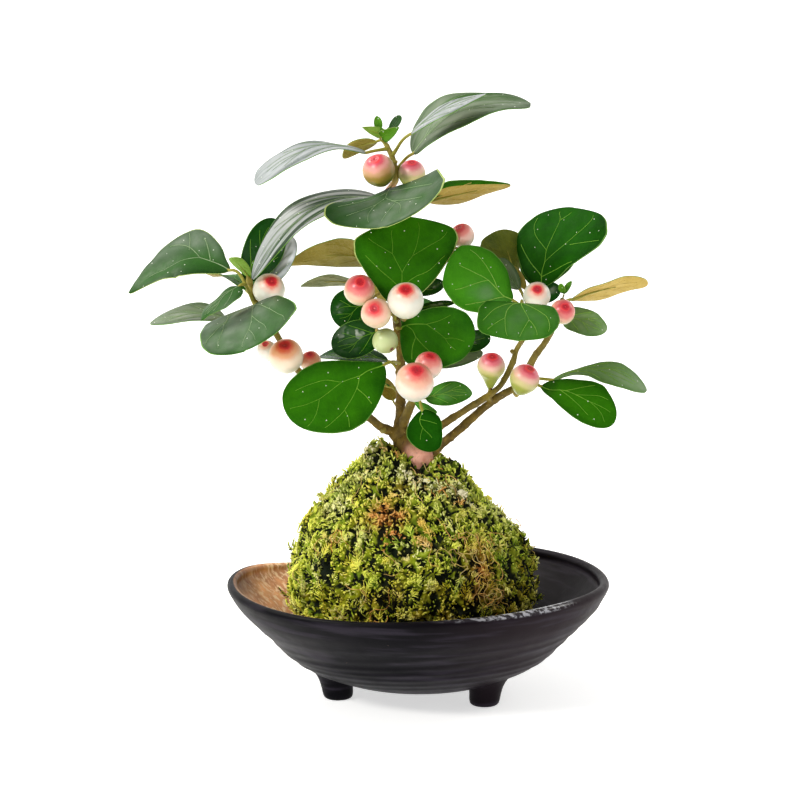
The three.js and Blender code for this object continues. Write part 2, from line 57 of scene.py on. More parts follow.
# Quads between neighbours of a grid of points, rows along and columns across. The last column joins the first, and
# each end is closed by a fan round its middle. A body whose faces point in is turned round.
def surface(points, slot=0, across=None, along=None, values=None):
    rows, columns = points.shape[:2]
    across = np.linspace(0, 1, columns + 1) if across is None else across
    along = np.linspace(0, 1, rows) if along is None else along
    r, c = np.meshgrid(np.arange(rows - 1), np.arange(columns), indexing="ij")
    after = (c + 1) % columns
    faces = np.stack([r * columns + c, r * columns + after, (r + 1) * columns + after, (r + 1) * columns + c], -1)
    corners = [(c, r), (c + 1, r), (c + 1, r + 1), (c, r + 1)]
    uv = np.stack([np.stack([across[i], along[j]], -1) for i, j in corners], -2)
    faces, uv = faces.reshape(-1, 4), uv.reshape(-1, 4, 2)
    slots = np.broadcast_to(slot, (rows - 1, columns)).reshape(-1)
    flat = points.reshape(-1, 3)
    values = {name: np.broadcast_to(v, (rows, columns)).reshape(-1) for name, v in (values or {}).items()}
    for row in (0, rows - 1):
        ring = row * columns + np.arange(columns)
        pair = [np.roll(ring, -1), ring] if row == 0 else [ring, np.roll(ring, -1)]
        fan = np.stack([*pair, np.full(columns, len(flat)), np.full(columns, -1)], -1)
        flat = np.vstack([flat, flat[ring].mean(0)])
        values = {name: np.append(v, v[ring].mean()) for name, v in values.items()}
        faces = np.vstack([faces, fan])
        place = np.stack([across[:-1], np.full(columns, along[row])], -1)
        uv = np.concatenate([uv, np.repeat(place[:, None], 4, 1)])
        slots = np.append(slots, np.full(columns, slots[0 if row == 0 else -1]))
    a, b, c, d = (flat[faces[:, k]] for k in range(4))
    volume = (a * np.cross(b, c)).sum() + (a * np.cross(c, d)).sum(1)[faces[:, 3] >= 0].sum()
    if volume < 0:
        three = faces[:, 3] < 0
        faces[three, :3], uv[three, :3] = faces[three, 2::-1], uv[three, 2::-1]
        faces[~three], uv[~three] = faces[~three, ::-1], uv[~three, ::-1]
    return {"points": flat, "faces": faces, "uv": uv, "slots": slots, "values": values}


# One object from several surfaces, with its materials, its UV map and a value per point for each name.
def makePiece(name, parts, materials, stands=()):
    start = np.cumsum([0] + [len(p["points"]) for p in parts])
    points = np.concatenate([p["points"] for p in parts]) * mm
    faces = np.concatenate([np.where(p["faces"] < 0, -1, p["faces"] + s) for p, s in zip(parts, start)])
    uv = np.concatenate([p["uv"] for p in parts])
    used = faces >= 0
    counts = used.sum(1)
    mesh = bpy.data.meshes.new(name)
    mesh.vertices.add(len(points))
    mesh.vertices.foreach_set("co", points.astype(np.float32).ravel())
    mesh.loops.add(int(counts.sum()))
    mesh.loops.foreach_set("vertex_index", faces[used].astype(np.int32))
    mesh.polygons.add(len(faces))
    mesh.polygons.foreach_set("loop_start", (np.cumsum(counts) - counts).astype(np.int32))
    mesh.polygons.foreach_set("material_index", np.concatenate([p["slots"] for p in parts]).astype(np.int32))
    mesh.polygons.foreach_set("use_smooth", np.ones(len(faces), bool))
    mesh.uv_layers.new(name="UVMap").data.foreach_set("uv", uv[used].astype(np.float32).ravel())
    for key in sorted({k for p in parts for k in p["values"]}):
        held = np.concatenate([p["values"].get(key, np.zeros(len(p["points"]))) for p in parts])
        mesh.attributes.new(key, "FLOAT", "POINT").data.foreach_set("value", held.astype(np.float32))
    mesh.update(calc_edges=True)
    mesh.validate()
    for material in materials:
        mesh.materials.append(material)
    piece = bpy.data.objects.new(name, mesh)
    bpy.context.scene.collection.objects.link(piece)
    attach(piece, "root")
    if stands:
        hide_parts(*stands)


# A centripetal Catmull-Rom spline: between two points a cubic whose end slopes come from both neighbours, weighted by
# the square roots of their distances. A share of it counts its points, not its length.
def pathThrough(knots, shares):
    p = np.array([k[:3] for k in knots], float)
    p = np.vstack([2 * p[0] - p[1], p, 2 * p[-1] - p[-2]])
    place = np.clip(shares, 0, 1) * (len(knots) - 1)
    i = np.minimum(place.astype(int), len(knots) - 2)
    w = (place - i)[:, None]
    a, b, c, d = p[i], p[i + 1], p[i + 2], p[i + 3]
    g, h, k = (np.sqrt(np.linalg.norm(n - m, axis=1))[:, None] for m, n in ((a, b), (b, c), (c, d)))
    leave = ((b - a) / g - (c - a) / (g + h) + (c - b) / h) * h
    reach = ((c - b) / h - (d - b) / (h + k) + (d - c) / k) * h
    return b + leave * w + (3 * (c - b) - 2 * leave - reach) * w**2 + (2 * (b - c) + leave + reach) * w**3


# A sum of waves with directions, lengths and phases thrown from a seed: soft unevenness between about -1 and 1.
def waves(points, size, seed, count=24):
    dice = np.random.default_rng(seed)
    ways = unit(dice.normal(size=(count, 3))) * 2 * np.pi / (size * dice.uniform(0.7, 1.5, (count, 1)))
    return np.sin(points @ ways.T + dice.uniform(0, 6.28, count)).sum(-1) / np.sqrt(count)


# Directions to the right, up and ahead at each point of a path. They are carried from its last point, where "across"
# is the right, back to the first, and turn no more than the path does.
def framesAlong(points, across):
    ahead = unit(np.vstack([points[1:2] - points[:1], points[2:] - points[:-2], points[-1:] - points[-2:-1]]))
    right = np.empty_like(points)
    carried = np.array(across, float)
    for i in range(len(points) - 1, -1, -1):
        carried = unit(carried - ahead[i] * (carried @ ahead[i]))
        right[i] = carried
    return right, np.cross(ahead, right), ahead


def circle(right, up, a):
    return right[..., None, :] * np.cos(a)[..., None] + up[..., None, :] * np.sin(a)[..., None]


def lengthsAlong(points):
    return np.append(0, np.cumsum(np.linalg.norm(np.diff(points, axis=0), axis=1)))


# A tube: each ring is centre + (right cos a + up sin a) · radius · (1 + relief).
def tube(points, radii, around=10, across=(0, 1, 0.01), relief=0, slot=0, values=None):
    right, up, _ = framesAlong(points, across)
    a = np.linspace(0, 2 * np.pi, around, endpoint=False)
    radius = (np.broadcast_to(radii, len(points))[:, None] * (1 + relief * np.ones((1, around))))[..., None]
    along = lengthsAlong(points) / 10
    return surface(points[:, None] + circle(right, up, a) * radius, slot, along=along, values=values)


now = {}  # "tree" is the node tree of the material or group that is being built


def fill(node, inputs):  # each input gets a value, or a link from another node
    for key, value in inputs.items():
        if isinstance(value, bpy.types.NodeSocket):
            now["tree"].links.new(value, node.inputs[key])
        else:
            node.inputs[key].default_value = value
    return node


def addNode(kind, inputs=None, **settings):
    node = now["tree"].nodes.new("ShaderNode" + kind)
    for key, value in settings.items():
        setattr(node, key, value)
    return fill(node, inputs or {})


def calc(operation, *values):
    return addNode("Math", dict(enumerate(values)), operation=operation).outputs[0]


def times(*values):
    return calc("MULTIPLY", *values)


def plus(*values):
    return calc("ADD", *values)


def minus(*values):
    return calc("SUBTRACT", *values)


def blend(share, low, high, how="MIX"):
    mixed = addNode("Mix", {0: share, 6: low, 7: high}, data_type="RGBA", blend_type=how, clamp_factor=True)
    return mixed.outputs[2]


def layered(base, *layers):  # each layer is a share and the colour that covers so much of what lies below it
    for share, colour in layers:
        base = blend(share, base, colour)
    return base


def between(value, low, high, start=0.0, end=1.0):  # runs smoothly from start at low to end at high
    names = {"Value": value, "From Min": low, "From Max": high, "To Min": start, "To Max": end}
    return addNode("MapRange", names, interpolation_type="SMOOTHSTEP").outputs[0]


def rampOf(value, stops):
    ramp = addNode("ValToRGB", {0: value})
    ramp.color_ramp.interpolation = "EASE"
    while len(ramp.color_ramp.elements) < len(stops):
        ramp.color_ramp.elements.new(1)
    for element, (place, colour) in zip(ramp.color_ramp.elements, stops):
        element.position, element.color = place, colour
    return ramp.outputs[0]


def noise(vector, scale, detail=3.0, rough=0.55):
    return addNode("TexNoise", {"Vector": vector, "Scale": scale, "Detail": detail, "Roughness": rough}).outputs[0]


def uneven(place, scale, low, high):  # a value that a noise moves between low and high
    return between(noise(place, scale), 0.3, 0.7, low, high)


def stretched(vector, **settings):  # the place scaled and turned, so that a pattern becomes lines
    return addNode("Mapping", {0: vector, **settings}).outputs[0]


def newGroup(name, inputs, outputs):
    tree = bpy.data.node_groups.new(name, "ShaderNodeTree")
    kinds = {"value": "NodeSocketFloat", "vector": "NodeSocketVector", "colour": "NodeSocketColor"}
    for label, kind, start in inputs:
        tree.interface.new_socket(label, in_out="INPUT", socket_type=kinds[kind]).default_value = start
    for label, kind in outputs:
        tree.interface.new_socket(label, in_out="OUTPUT", socket_type=kinds[kind])
    now["tree"] = tree
    return tree, tree.nodes.new("NodeGroupInput").outputs, tree.nodes.new("NodeGroupOutput")


def placeGroup(group, **inputs):
    return fill(addNode("Group", node_tree=group), inputs).outputs


def coordinates(place, kind):  # x, y and z of a point's place in its object, or across and along in its UV map
    return addNode("SeparateXYZ", {0: place.node.outputs[kind]}).outputs


# A material with plain values on its shader, and where a point is in the object.
def newMaterial(name, specular=0.5, **plain):
    material = bpy.data.materials.new(name)
    material.use_nodes = True
    now["tree"] = material.node_tree
    shader = fill(material.node_tree.nodes["Principled BSDF"], {"Specular IOR Level": specular, **plain})
    return material, shader, addNode("TexCoord").outputs["Object"]


def attribute(name):
    return addNode("Attribute", attribute_name=name, attribute_type="GEOMETRY").outputs["Fac"]


# Colour, roughness, and a bump whose height of 1 stands for a depth in millimetres.
def paint(shader, colour, roughness, height, depth, strength):
    bump = addNode("Bump", {"Height": height, "Distance": depth * mm, "Strength": strength}).outputs[0]
    fill(shader, {"Base Color": colour, "Roughness": roughness, "Normal": bump})


# Soft blotches: two colours mixed by noise of a size in millimetres, pushed apart by its contrast.
def buildMottle():
    tree, given, out = newGroup("mottle", [
        ("Vector", "vector", (0, 0, 0)), ("Size", "value", 5.0), ("Contrast", "value", 1.5),
        ("Low", "colour", (0, 0, 0, 1)), ("High", "colour", (1, 1, 1, 1))],
        [("Colour", "colour"), ("Mask", "value")])
    scale = calc("DIVIDE", 1 / mm, given["Size"])
    cloud = noise(given["Vector"], scale, 4.0)
    mask = plus(0.5, times(minus(cloud, 0.5), given["Contrast"]))
    held = calc("MAXIMUM", 0.0, calc("MINIMUM", mask, 1.0))
    fill(out, {"Mask": held, "Colour": blend(mask, given["Low"], given["High"])})
    return tree


# Small round specks: 1 within a share of the cell of a point scattered in space, 0 elsewhere, and only in some cells.
def buildSpecks():
    tree, given, out = newGroup("specks", [
        ("Vector", "vector", (0, 0, 0)), ("Spacing", "value", 3.0), ("Radius", "value", 0.1), ("Share", "value", 0.4)],
        [("Mask", "value")])
    scale = calc("DIVIDE", 1 / mm, given["Spacing"])
    cells = addNode("TexVoronoi", {"Vector": given["Vector"], "Scale": scale})
    near = calc("LESS_THAN", cells.outputs["Distance"], calc("DIVIDE", given["Radius"], given["Spacing"]))
    picked = addNode("SeparateColor", {0: cells.outputs["Color"]}).outputs[0]
    fill(out, {"Mask": times(near, calc("LESS_THAN", picked, given["Share"]))})
    return tree


# The fine net of veins: the borders between cells of a size in millimetres, 1 on a border and 0 inside a cell.
def buildNet():
    tree, given, out = newGroup("veinNet", [
        ("Vector", "vector", (0, 0, 0)), ("Size", "value", 2.0), ("Width", "value", 0.08)],
        [("Mask", "value")])
    scale = calc("DIVIDE", 1 / mm, given["Size"])
    push = addNode("TexNoise", {"Vector": given["Vector"], "Scale": 300.0}).outputs["Color"]
    push = addNode("VectorMath", {0: push, 1: (1.2 * mm,) * 3}, operation="MULTIPLY").outputs[0]
    bent = addNode("VectorMath", {0: given["Vector"], 1: push}, operation="ADD").outputs[0]
    cells = addNode("TexVoronoi", {"Vector": bent, "Scale": scale}, feature="DISTANCE_TO_EDGE")
    fill(out, {"Mask": between(cells.outputs["Distance"], given["Width"], 0.0)})
    return tree


mottle, specks, veinNet = buildMottle(), buildSpecks(), buildNet()


def mottled(place, size, contrast, low, high):
    return placeGroup(mottle, Vector=place, Size=size, Contrast=contrast, Low=rgb(*low), High=rgb(*high))[0]


pitch = np.radians(camera["pitch"])
lens = bpy.data.cameras.new("camera")
lens.lens, lens.clip_end = camera["lens"], camera["clip"]
eye = bpy.data.objects.new("camera", lens)
away = camera["distance"] * mm
eye.location = (camera["x"] * mm, -away * np.cos(pitch), camera["aimHeight"] * mm + away * np.sin(pitch))
eye.rotation_euler = (np.pi / 2 - pitch, 0, 0)
bpy.context.scene.collection.objects.link(eye)
bpy.context.scene.camera = eye
bpy.context.scene.view_settings.view_transform = "Standard"

studio = {
    "world": 0.42,
    # name: (place in metres, width, watts, colour)
    "lamps": {
        "key": ((-0.85, 0.35, 1.3), 0.5, 17, (1, 0.96, 0.88)),
        "front": ((-1.05, -1.0, 1.0), 0.35, 15, (1, 0.98, 0.94)),
        "right": ((1.2, 0.5, 0.9), 0.5, 5, (1, 0.98, 0.93)),
    },
    "aim": (0.005, 0, 0.12),
    "half": 20, "wallAt": 1.6, "wallHeight": 1.6, "bend": 0.5, "wallGlow": 0.6,
}


# A floor that bends up into a wall behind: flat, then a quarter circle, then upright.
def buildStudio():
    world = bpy.data.worlds.new("studio")
    world.use_nodes = True
    fill(world.node_tree.nodes["Background"], {"Color": (1, 1, 1, 1), "Strength": studio["world"]})
    bpy.context.scene.world = world
    for name, (place, width, watts, colour) in studio["lamps"].items():
        light = bpy.data.lights.new(name, "AREA")
        light.size, light.energy, light.color = width, watts, colour
        lamp = bpy.data.objects.new(name, light)
        lamp.location = place
        towards = np.array(studio["aim"]) - np.array(place)
        flat = np.hypot(towards[0], towards[1])
        lamp.rotation_euler = (np.arctan2(flat, -towards[2]), 0, np.arctan2(-towards[0], towards[1]))
        bpy.context.scene.collection.objects.link(lamp)
    material, shader, _ = newMaterial("paleFloor", 0.1, Roughness=0.9)
    glow = {"Emission Color": (1, 1, 1, 1), "Emission Strength": studio["wallGlow"]}
    fill(shader, {"Base Color": (0.9, 0.9, 0.89, 1), **glow})
    at, bend, half = studio["wallAt"], studio["bend"], studio["half"]
    turn = np.linspace(0, np.pi / 2, 24)
    line = [(-half, 0), *zip(at + bend * np.sin(turn), bend - bend * np.cos(turn)), (at + bend, studio["wallHeight"])]
    points = [(x, y, z) for y, z in line for x in (-half, half)]
    mesh = bpy.data.meshes.new("floor")
    mesh.from_pydata(points, [], [(2 * k, 2 * k + 1, 2 * k + 3, 2 * k + 2) for k in range(len(line) - 1)])
    mesh.polygons.foreach_set("use_smooth", [True] * len(mesh.polygons))
    mesh.materials.append(material)
    floor = bpy.data.objects.new("floor", mesh)
    bpy.context.scene.collection.objects.link(floor)


buildStudio()
print("studio built")

dish = {
    "x": 12.4, "lipRadius": 75, "lipHeight": 44.5, "lip": 2,
    "outside": [[0, 0, 5], [24, 0, 5], [35.6, 0, 7.6], [51.4, 0, 15.6], [61.5, 0, 25.4], [72.5, 0, 36.5],
                [76.6, 0, 43]],
    "inside": [[73.3, 0, 43], [70.5, 0, 39.5], [60, 0, 29.4], [49, 0, 19.5], [38, 0, 12.6], [31, 0, 10], [0, 0, 10]],
    "sway": 1.4, "dip": 6.5, "dipAt": 118, "dipSpread": 32,
    "feet": [-42, -158, 80], "footCircle": 35,
    "foot": [[0, 0, 0], [4.4, 0, 0], [5.6, 0, 0.7], [6.1, 0, 2.2], [6.4, 0, 5], [7.1, 0, 8], [9.2, 0, 11.4],
             [13, 0, 14.6]],
    # points along outside, lip and inside, round them, and the same for a foot; how far the radius wanders, slowly and
    # quickly, and between which heights that sets in; and how far a foot's upper end leans out
    "steps": (110, 18, 70), "around": 240, "footSteps": 40, "footAround": 48,
    "wander": (0.25, 0.15), "wanderFrom": (12, 40), "footLean": 0.8,
    # where looks begin and end, in millimetres: the warm tone, the painted sunlight and its pale streaks by x, the
    # thick lip and its painted highlight by all three
    "warm": (0, 80), "paintedSunlight": (-2, -42), "paintedSunlightEnd": (-68, -50), "pale": (-62, -42),
    "thick": [(2, 45.8, 46.8), (1, -35, -50), (0, 15, 45), (0, 76, 60)],
    # throwing rings: height on the wall, how far it stands out, its half width, and how far it climbs to the right
    "rings": [[9.5, 0.26, 0.8, 0.5], [11.8, 0.36, 0.8, 0.9], [14.2, 0.44, 0.9, 1.6], [17.2, 0.44, 1.0, 2.4],
              [20.5, 0.42, 1.0, 3.2], [24.0, 0.4, 1.1, 4.2], [28.0, 0.3, 1.2, 4.8], [33.0, 0.2, 1.4, 4.4]],
}


# A lathe about Z: (radius, height) at each share of a profile, turned through each angle.
def lathe(profile, around):
    a = np.linspace(0, 2 * np.pi, around, endpoint=False)[None]
    radius, height = profile[:, 0, None], profile[:, -1, None]
    return np.stack([radius * np.cos(a), radius * np.sin(a), height + 0 * a], -1)


# How far the rim stands above its even height: a slow sway round the front, and a dip at the back left.
def rimWave(angle):
    at = np.radians(dish["dipAt"])
    apart = np.arctan2(np.sin(angle - at), np.cos(angle - at)) / np.radians(dish["dipSpread"])
    return np.where(angle < 0, -dish["sway"] * np.sin(2 * angle), 0) - dish["dip"] * np.exp(-(apart**2))


def dishParts():
    wallSteps, lipSteps, floorSteps = dish["steps"]
    turn = np.radians(np.linspace(-25, 200, lipSteps))
    lip = dish["lipRadius"] + dish["lip"] * np.cos(turn), 0 * turn, dish["lipHeight"] + dish["lip"] * np.sin(turn)
    outside = pathThrough(dish["outside"], np.linspace(0, 0.985, wallSteps))
    inside = pathThrough(dish["inside"], np.linspace(0.02, 1, floorSteps))
    profile = np.vstack([outside, np.stack(lip, -1), inside])[1:-1]
    bowl = lathe(profile, dish["around"])
    angle, height = np.arctan2(bowl[..., 1], bowl[..., 0]), bowl[..., 2]
    row = np.arange(len(profile))[:, None]
    relief = 0
    for k, (at, out, half, climb) in enumerate(dish["rings"]):
        drift = climb * np.sin(angle + np.pi / 2) + 0.5 * np.sin(2 * angle + 1.7 * k)
        drift = drift + 0.25 * np.sin(5 * angle + 2.3 * k)
        strength = 1 + 0.45 * np.sin(3 * angle + 1.1 * k) * np.cos(angle + k)
        relief = relief + out * strength * np.exp(-(((height - at - drift) / half) ** 2))
    radius = np.hypot(bowl[..., 0], bowl[..., 1])
    slow, quick = dish["wander"]
    wander = slow * np.sin(3 * angle + height * 0.12) + quick * np.sin(7 * angle - height * 0.2)
    wander = wander * smooth(height, *dish["wanderFrom"]) / dish["lipRadius"]
    share = 1 + np.where(row < len(outside), relief, 0) / np.maximum(radius, 8) + wander
    bowl[..., :2] *= share[..., None]
    bowl[..., 2] += rimWave(angle) * (height / dish["lipHeight"]) ** 3
    inner = np.broadcast_to(row > len(outside) + 8, height.shape).astype(float)
    parts = [surface(bowl, values={"inside": inner})]
    for degrees in dish["feet"]:
        a = np.radians(degrees)
        foot = lathe(pathThrough(dish["foot"], np.linspace(0.02, 0.95, dish["footSteps"])), dish["footAround"])
        lean = smooth(foot[..., 2], 0, 9)[..., None] * np.array([np.cos(a), np.sin(a), 0]) * dish["footLean"]
        place = np.array([dish["footCircle"] * np.cos(a), dish["footCircle"] * np.sin(a), 0])
        parts.append(surface(foot + lean + place, values={"inside": 0.0}))
    for part in parts:
        part["points"] = part["points"] + np.array([dish["x"], 0, 0])
    return parts


# Satin black clay: charcoal to purple-brown in soft blotches, warmer to the right. On the left of the inside sunlight
# is painted: copper with pale streaks. There are a few specks of dust, and on the lip to the front and right it lies
# thick and glossy, with a painted highlight of pale specks.
def buildGlaze():
    glaze, shader, place = newMaterial("darkGlaze", 0.05)
    where = coordinates(place, "Object")
    inside = attribute("inside")

    def span(value, places, start=0.0, end=1.0):  # between, with its places in millimetres
        return between(value, places[0] * mm, places[1] * mm, start, end)

    warm = times(span(where[0], dish["warm"]), between(inside, 0.0, 1.0, 0.55, 0.12))
    bands = noise(stretched(place, Scale=(0.12, 0.12, 1.4)), 260.0, 2.0)
    # painted sunlight on the left of the inside: a copper pool with pale streaks
    edge = plus(where[0], times(minus(noise(place, 70.0, 4.0), 0.5), 0.05))
    left = times(times(inside, span(edge, dish["paintedSunlight"])), span(where[0], dish["paintedSunlightEnd"], 0.05, 1.0))
    streaks = noise(stretched(place, Rotation=(0.5, -0.7, 0), Scale=(1, 1, 0.3)), 420.0, 3.0, 0.6)
    pale = times(between(streaks, 0.47, 0.62), span(where[0], dish["pale"], 0.35, 1.0))
    paintedSunlight = blend(pale, mottled(place, 9.0, 2.0, (162, 100, 70), (250, 184, 132)), rgb(255, 222, 184))
    dust = placeGroup(specks, Vector=place, Spacing=4.0, Radius=0.16, Share=0.06)[0]
    axis, *ends = dish["thick"][0]
    lip = span(where[axis], ends)
    for axis, *ends in dish["thick"][1:]:
        lip = times(lip, span(where[axis], ends))
    # painted highlight on the lip: pale specks in the glaze colour
    paintedGlint = noise(stretched(place, Scale=(0.5, 1, 1)), 700.0, 3.0, 0.6)
    base = layered(
        mottled(place, 14.0, 1.6, (3, 3, 6), (10, 8, 14)), (warm, rgb(44, 30, 36)),
        (between(bands, 0.48, 0.72, 0.0, 0.42), rgb(54, 49, 60)), (left, paintedSunlight),
        (times(dust, 0.6), rgb(170, 140, 120)),
        (times(lip, between(paintedGlint, 0.46, 0.6, 0.0, 0.6)), rgb(206, 206, 214)))
    worn = placeGroup(mottle, Vector=place, Size=6.0, Contrast=1.2, Low=(0.34,) * 3 + (1,), High=(0.5,) * 3 + (1,))[0]
    height = plus(noise(place, 1500.0, 2.0), times(noise(place, 300.0), 1.5))
    fill(shader, {"Coat Weight": lip, "Coat Roughness": 0.15})
    paint(shader, base, plus(worn, times(bands, 0.08)), height, 0.05, 0.6)
    return glaze


makePiece("footed_dish", dishParts(), [buildGlaze()], ["dish"])
print("dish built")

# Each stem is a list of x, y, z and radius, from where it springs to its tip.
stems = {
    "rootstock": [[3.5, 0, 106, 2.6], [7, -1, 102.5, 4.4], [11.5, -2, 96.5, 7], [13, -1, 87.5, 6.2],
        [11, 0, 73.5, 2.5]],
    "trunk": [
        [6, 0, 98, 3], [4.5, 0, 104, 2.9], [5, 0, 112.5, 2.1], [5, 0, 126, 1.9], [5, 0, 140, 1.8], [3.5, 0, 151, 1.7],
        [3, 0, 169.5, 1.6], [0, 0, 189.5, 1.5], [-0.5, 0, 201.5, 1.4], [3, -1, 207.5, 1.3], [2, -1, 215.5, 1.1],
        [-0.5, -1, 221.5, 0.9]],
    "stem_front": [[5, -1, 106.5, 2], [7.5, -4, 114, 1.8], [10.5, -8, 121.5, 1.6], [12.5, -14, 127, 1.3]],
    "branch_left": [
        [2.5, 0, 106, 1.9], [-3, -3, 109, 1.8], [-8, -6, 113.5, 1.6], [-17, -8, 119.5, 1.5], [-27, -9, 126.5, 1.4],
        [-35, -9, 132, 1.4], [-39.5, -8, 138, 1.3], [-43.5, -6, 145.5, 1.3], [-48.5, -5, 153, 1.2],
        [-53, -5, 159.5, 1.1], [-54.5, -4, 166.5, 1]],
    "branch_right_low": [
        [14.5, 0, 93, 2], [19.5, -3, 100, 1.9], [28, -4, 107.5, 1.7], [38, -4, 116.5, 1.6], [45, -3, 121.5, 1.5],
        [52, 0, 125, 1.5], [55.5, 3, 129.5, 1.4], [58, 4, 135, 1.4], [64, 3, 144, 1.3], [67, 2, 152, 1.2],
        [69.5, 0, 160, 1]],
    "branch_right_mid": [
        [9, -3, 100.5, 1.7], [21.5, -8, 110.5, 1.5], [32.5, -10, 118, 1.4], [39, -7, 121.5, 1.3], [44.5, -2, 125, 1.2],
        [47.5, 2, 129, 1.2], [50, 4, 134, 1.2], [51.5, 4, 139, 1.1], [54, 4, 143.5, 1.1], [56.5, 4, 151.5, 1.1],
        [58, 2, 161.5, 1]],
    "branch_right_upper": [[3.5, 1, 154.5, 1.2], [10.5, 6, 165, 1.1], [18.5, 8, 174, 1], [24.5, 6, 180, 0.9]],
    # the knot where the branches leave, and the short bridge between two branches
    "knot": [[1.5, -1, 103.5, 2.2], [4.5, -1, 106, 3.3], [6.5, -1, 108.5, 2.6]],
    "bridge": [[41.5, -4, 119, 1.4], [40, -6, 120.5, 1.1], [39, -7.5, 121.6, 1.3]],
}
# how young the wood is at both ends of a stem, from 0 to 1
youth = {"stem_front": (0.3, 0.75), "branch_left": (0.3, 1.0), "branch_right_low": (0.1, 0.75),
         "branch_right_mid": (0.25, 0.85), "branch_right_upper": (0.4, 0.9)}
# place, direction, length, width and youth of each bud
buds = {
    "trunk": [
        ((-1.5, -3.4, 107.2), (-0.5, -0.8, 0.5), 2.4, 1.5, 0.75), ((7.4, -2.6, 107.5), (0.8, -0.4, 0.3), 2.2, 1.3, 0.6),
        ((6.0, -1.2, 151), (0.6, -0.6, 0.7), 4.2, 1.25, 1.0), ((2.4, -1.5, 214), (0.7, -0.5, 0.6), 2.2, 0.9, 0.9)],
    "branch_left": [
        ((-54, -5, 165.5), (-0.35, -0.2, 1), 5.5, 1.3, 1.0), ((-50.4, -5.2, 160), (0.75, -0.3, 1), 7.5, 1.2, 1.0)],
    "branch_right_low": [((59, 3.6, 138), (0.9, -0.5, 0.4), 1.8, 1.1, 0.5)],
    "branch_right_mid": [
        ((50.4, 3.0, 138.2), (-0.8, -0.5, 0.3), 2.2, 1.0, 0.6), ((57.4, 1.0, 158), (-0.2, -0.6, 0.9), 4.0, 1.1, 1.0)],
}
stalk = {"radius": 0.62, "reach": 0.4, "samples": 80, "back": 2}


def thicknessAt(knots, shares):
    return np.interp(shares * (len(knots) - 1), np.arange(len(knots)), [k[3] for k in knots])


# Bark relief: swollen rings where leaves once stood, slow bulges and fine knobs, as shares of the radius.
def barkRelief(length, around, seed, every=9.0, ring=0.13):
    dice = np.random.default_rng(seed)
    a = np.linspace(0, 2 * np.pi, around, endpoint=False)[None]
    s = length[:, None]
    relief = 0.05 * np.sin(2 * a + s * 0.35 + dice.uniform(0, 6)) + 0.035 * np.sin(3 * a - s * 0.9 + dice.uniform(0, 6))
    relief = relief + 0.025 * np.sin(5 * a + s * 2.1 + dice.uniform(0, 6))
    for at in np.arange(every * 0.6, length[-1], every):
        at = at + dice.uniform(-2, 2)
        relief = relief + ring * dice.uniform(0.6, 1.2) * np.exp(-(((s - at - 0.3 * np.sin(a + at)) / 0.7) ** 2))
    return relief


def stemPart(name, seed, young, around=24, step=0.45, **relief):
    knots, samples = stems[name], np.linspace(0, 1, 400)
    length = lengthsAlong(pathThrough(knots, samples))
    count = max(8, int(length[-1] / step))
    shares = np.interp(np.linspace(0, length[-1], count), length, samples)
    age = np.linspace(*young, count)[:, None] * np.ones((1, around))
    bark = barkRelief(np.linspace(0, length[-1], count), around, seed, **relief)
    return tube(pathThrough(knots, shares), thicknessAt(knots, shares), around, relief=bark, values={"young": age})


# A pointed bud: a tube whose radius is full at two fifths of its length.
def budPart(at, towards, length, width, young=0.8, slot=0):
    s = np.linspace(0, 1, 9)
    radii = width * np.maximum(np.sin(np.pi * s**0.75), 0.02)
    points = np.array(at) + unit(np.array(towards, float)) * (s * length)[:, None]
    return tube(points, radii, 10, (0.3, 1, 0.2), slot=slot, values={"young": young})


# Bark: olive brown to dark brown blotches on old wood, yellow-green on young wood, grey-white cork specks, and furrows
# along the stem. Its bump adds the furrows and the specks.
def buildBark():
    bark, shader, place = newMaterial("bark", 0.35)
    young = attribute("young")
    furrows = noise(stretched(place, Scale=(1, 1, 0.22)), 1300.0, 4.0, 0.65)
    cork = placeGroup(specks, Vector=place, Spacing=1.3, Radius=0.2, Share=0.4)[0]
    base = layered(
        mottled(place, 3.0, 2.4, (70, 54, 12), (128, 104, 32)),
        (between(young, 0.25, 0.95), mottled(place, 3.5, 2.0, (120, 108, 30), (168, 154, 70))),
        (attribute("pink"), mottled(place, 4.0, 2.2, (188, 118, 96), (232, 176, 156))),
        (between(furrows, 0.42, 0.3, 0.0, 0.55), rgb(44, 28, 12)), (times(cork, 0.5), rgb(186, 160, 112)))
    paint(shader, base, between(young, 0.0, 1.0, 0.72, 0.5), plus(furrows, times(cork, 0.4)), 0.18, 0.7)
    return bark


bark = buildBark()


def buildStems():
    trunk = stemPart("trunk", 3, (0, 1), 30, every=13, ring=0.16)
    trunk["values"]["pink"] = 0.9 * np.exp(-(((trunk["points"][:, 2] - 203) / 3) ** 2))
    root = stemPart("rootstock", 5, (0.1, 0), 56, 0.4, every=60)
    root["values"]["pink"] = smooth(root["points"][:, 0], 4, 9) * smooth(root["points"][:, 2], 105, 98)
    pieces = {"trunk": [trunk, root, stemPart("knot", 8, (0.3, 0.3), 30, 0.3)]}
    pieces |= {name: [stemPart(name, 20 + seed, young)] for seed, (name, young) in enumerate(youth.items())}
    pieces["branch_right_low"].append(stemPart("bridge", 31, youth["branch_right_low"], 16, 0.3))
    for name, parts in pieces.items():
        parts += [budPart(*bud) for bud in buds.get(name, [])]
        makePiece(name + "_wood", parts, [bark], [name])


buildStems()
print("stems built")
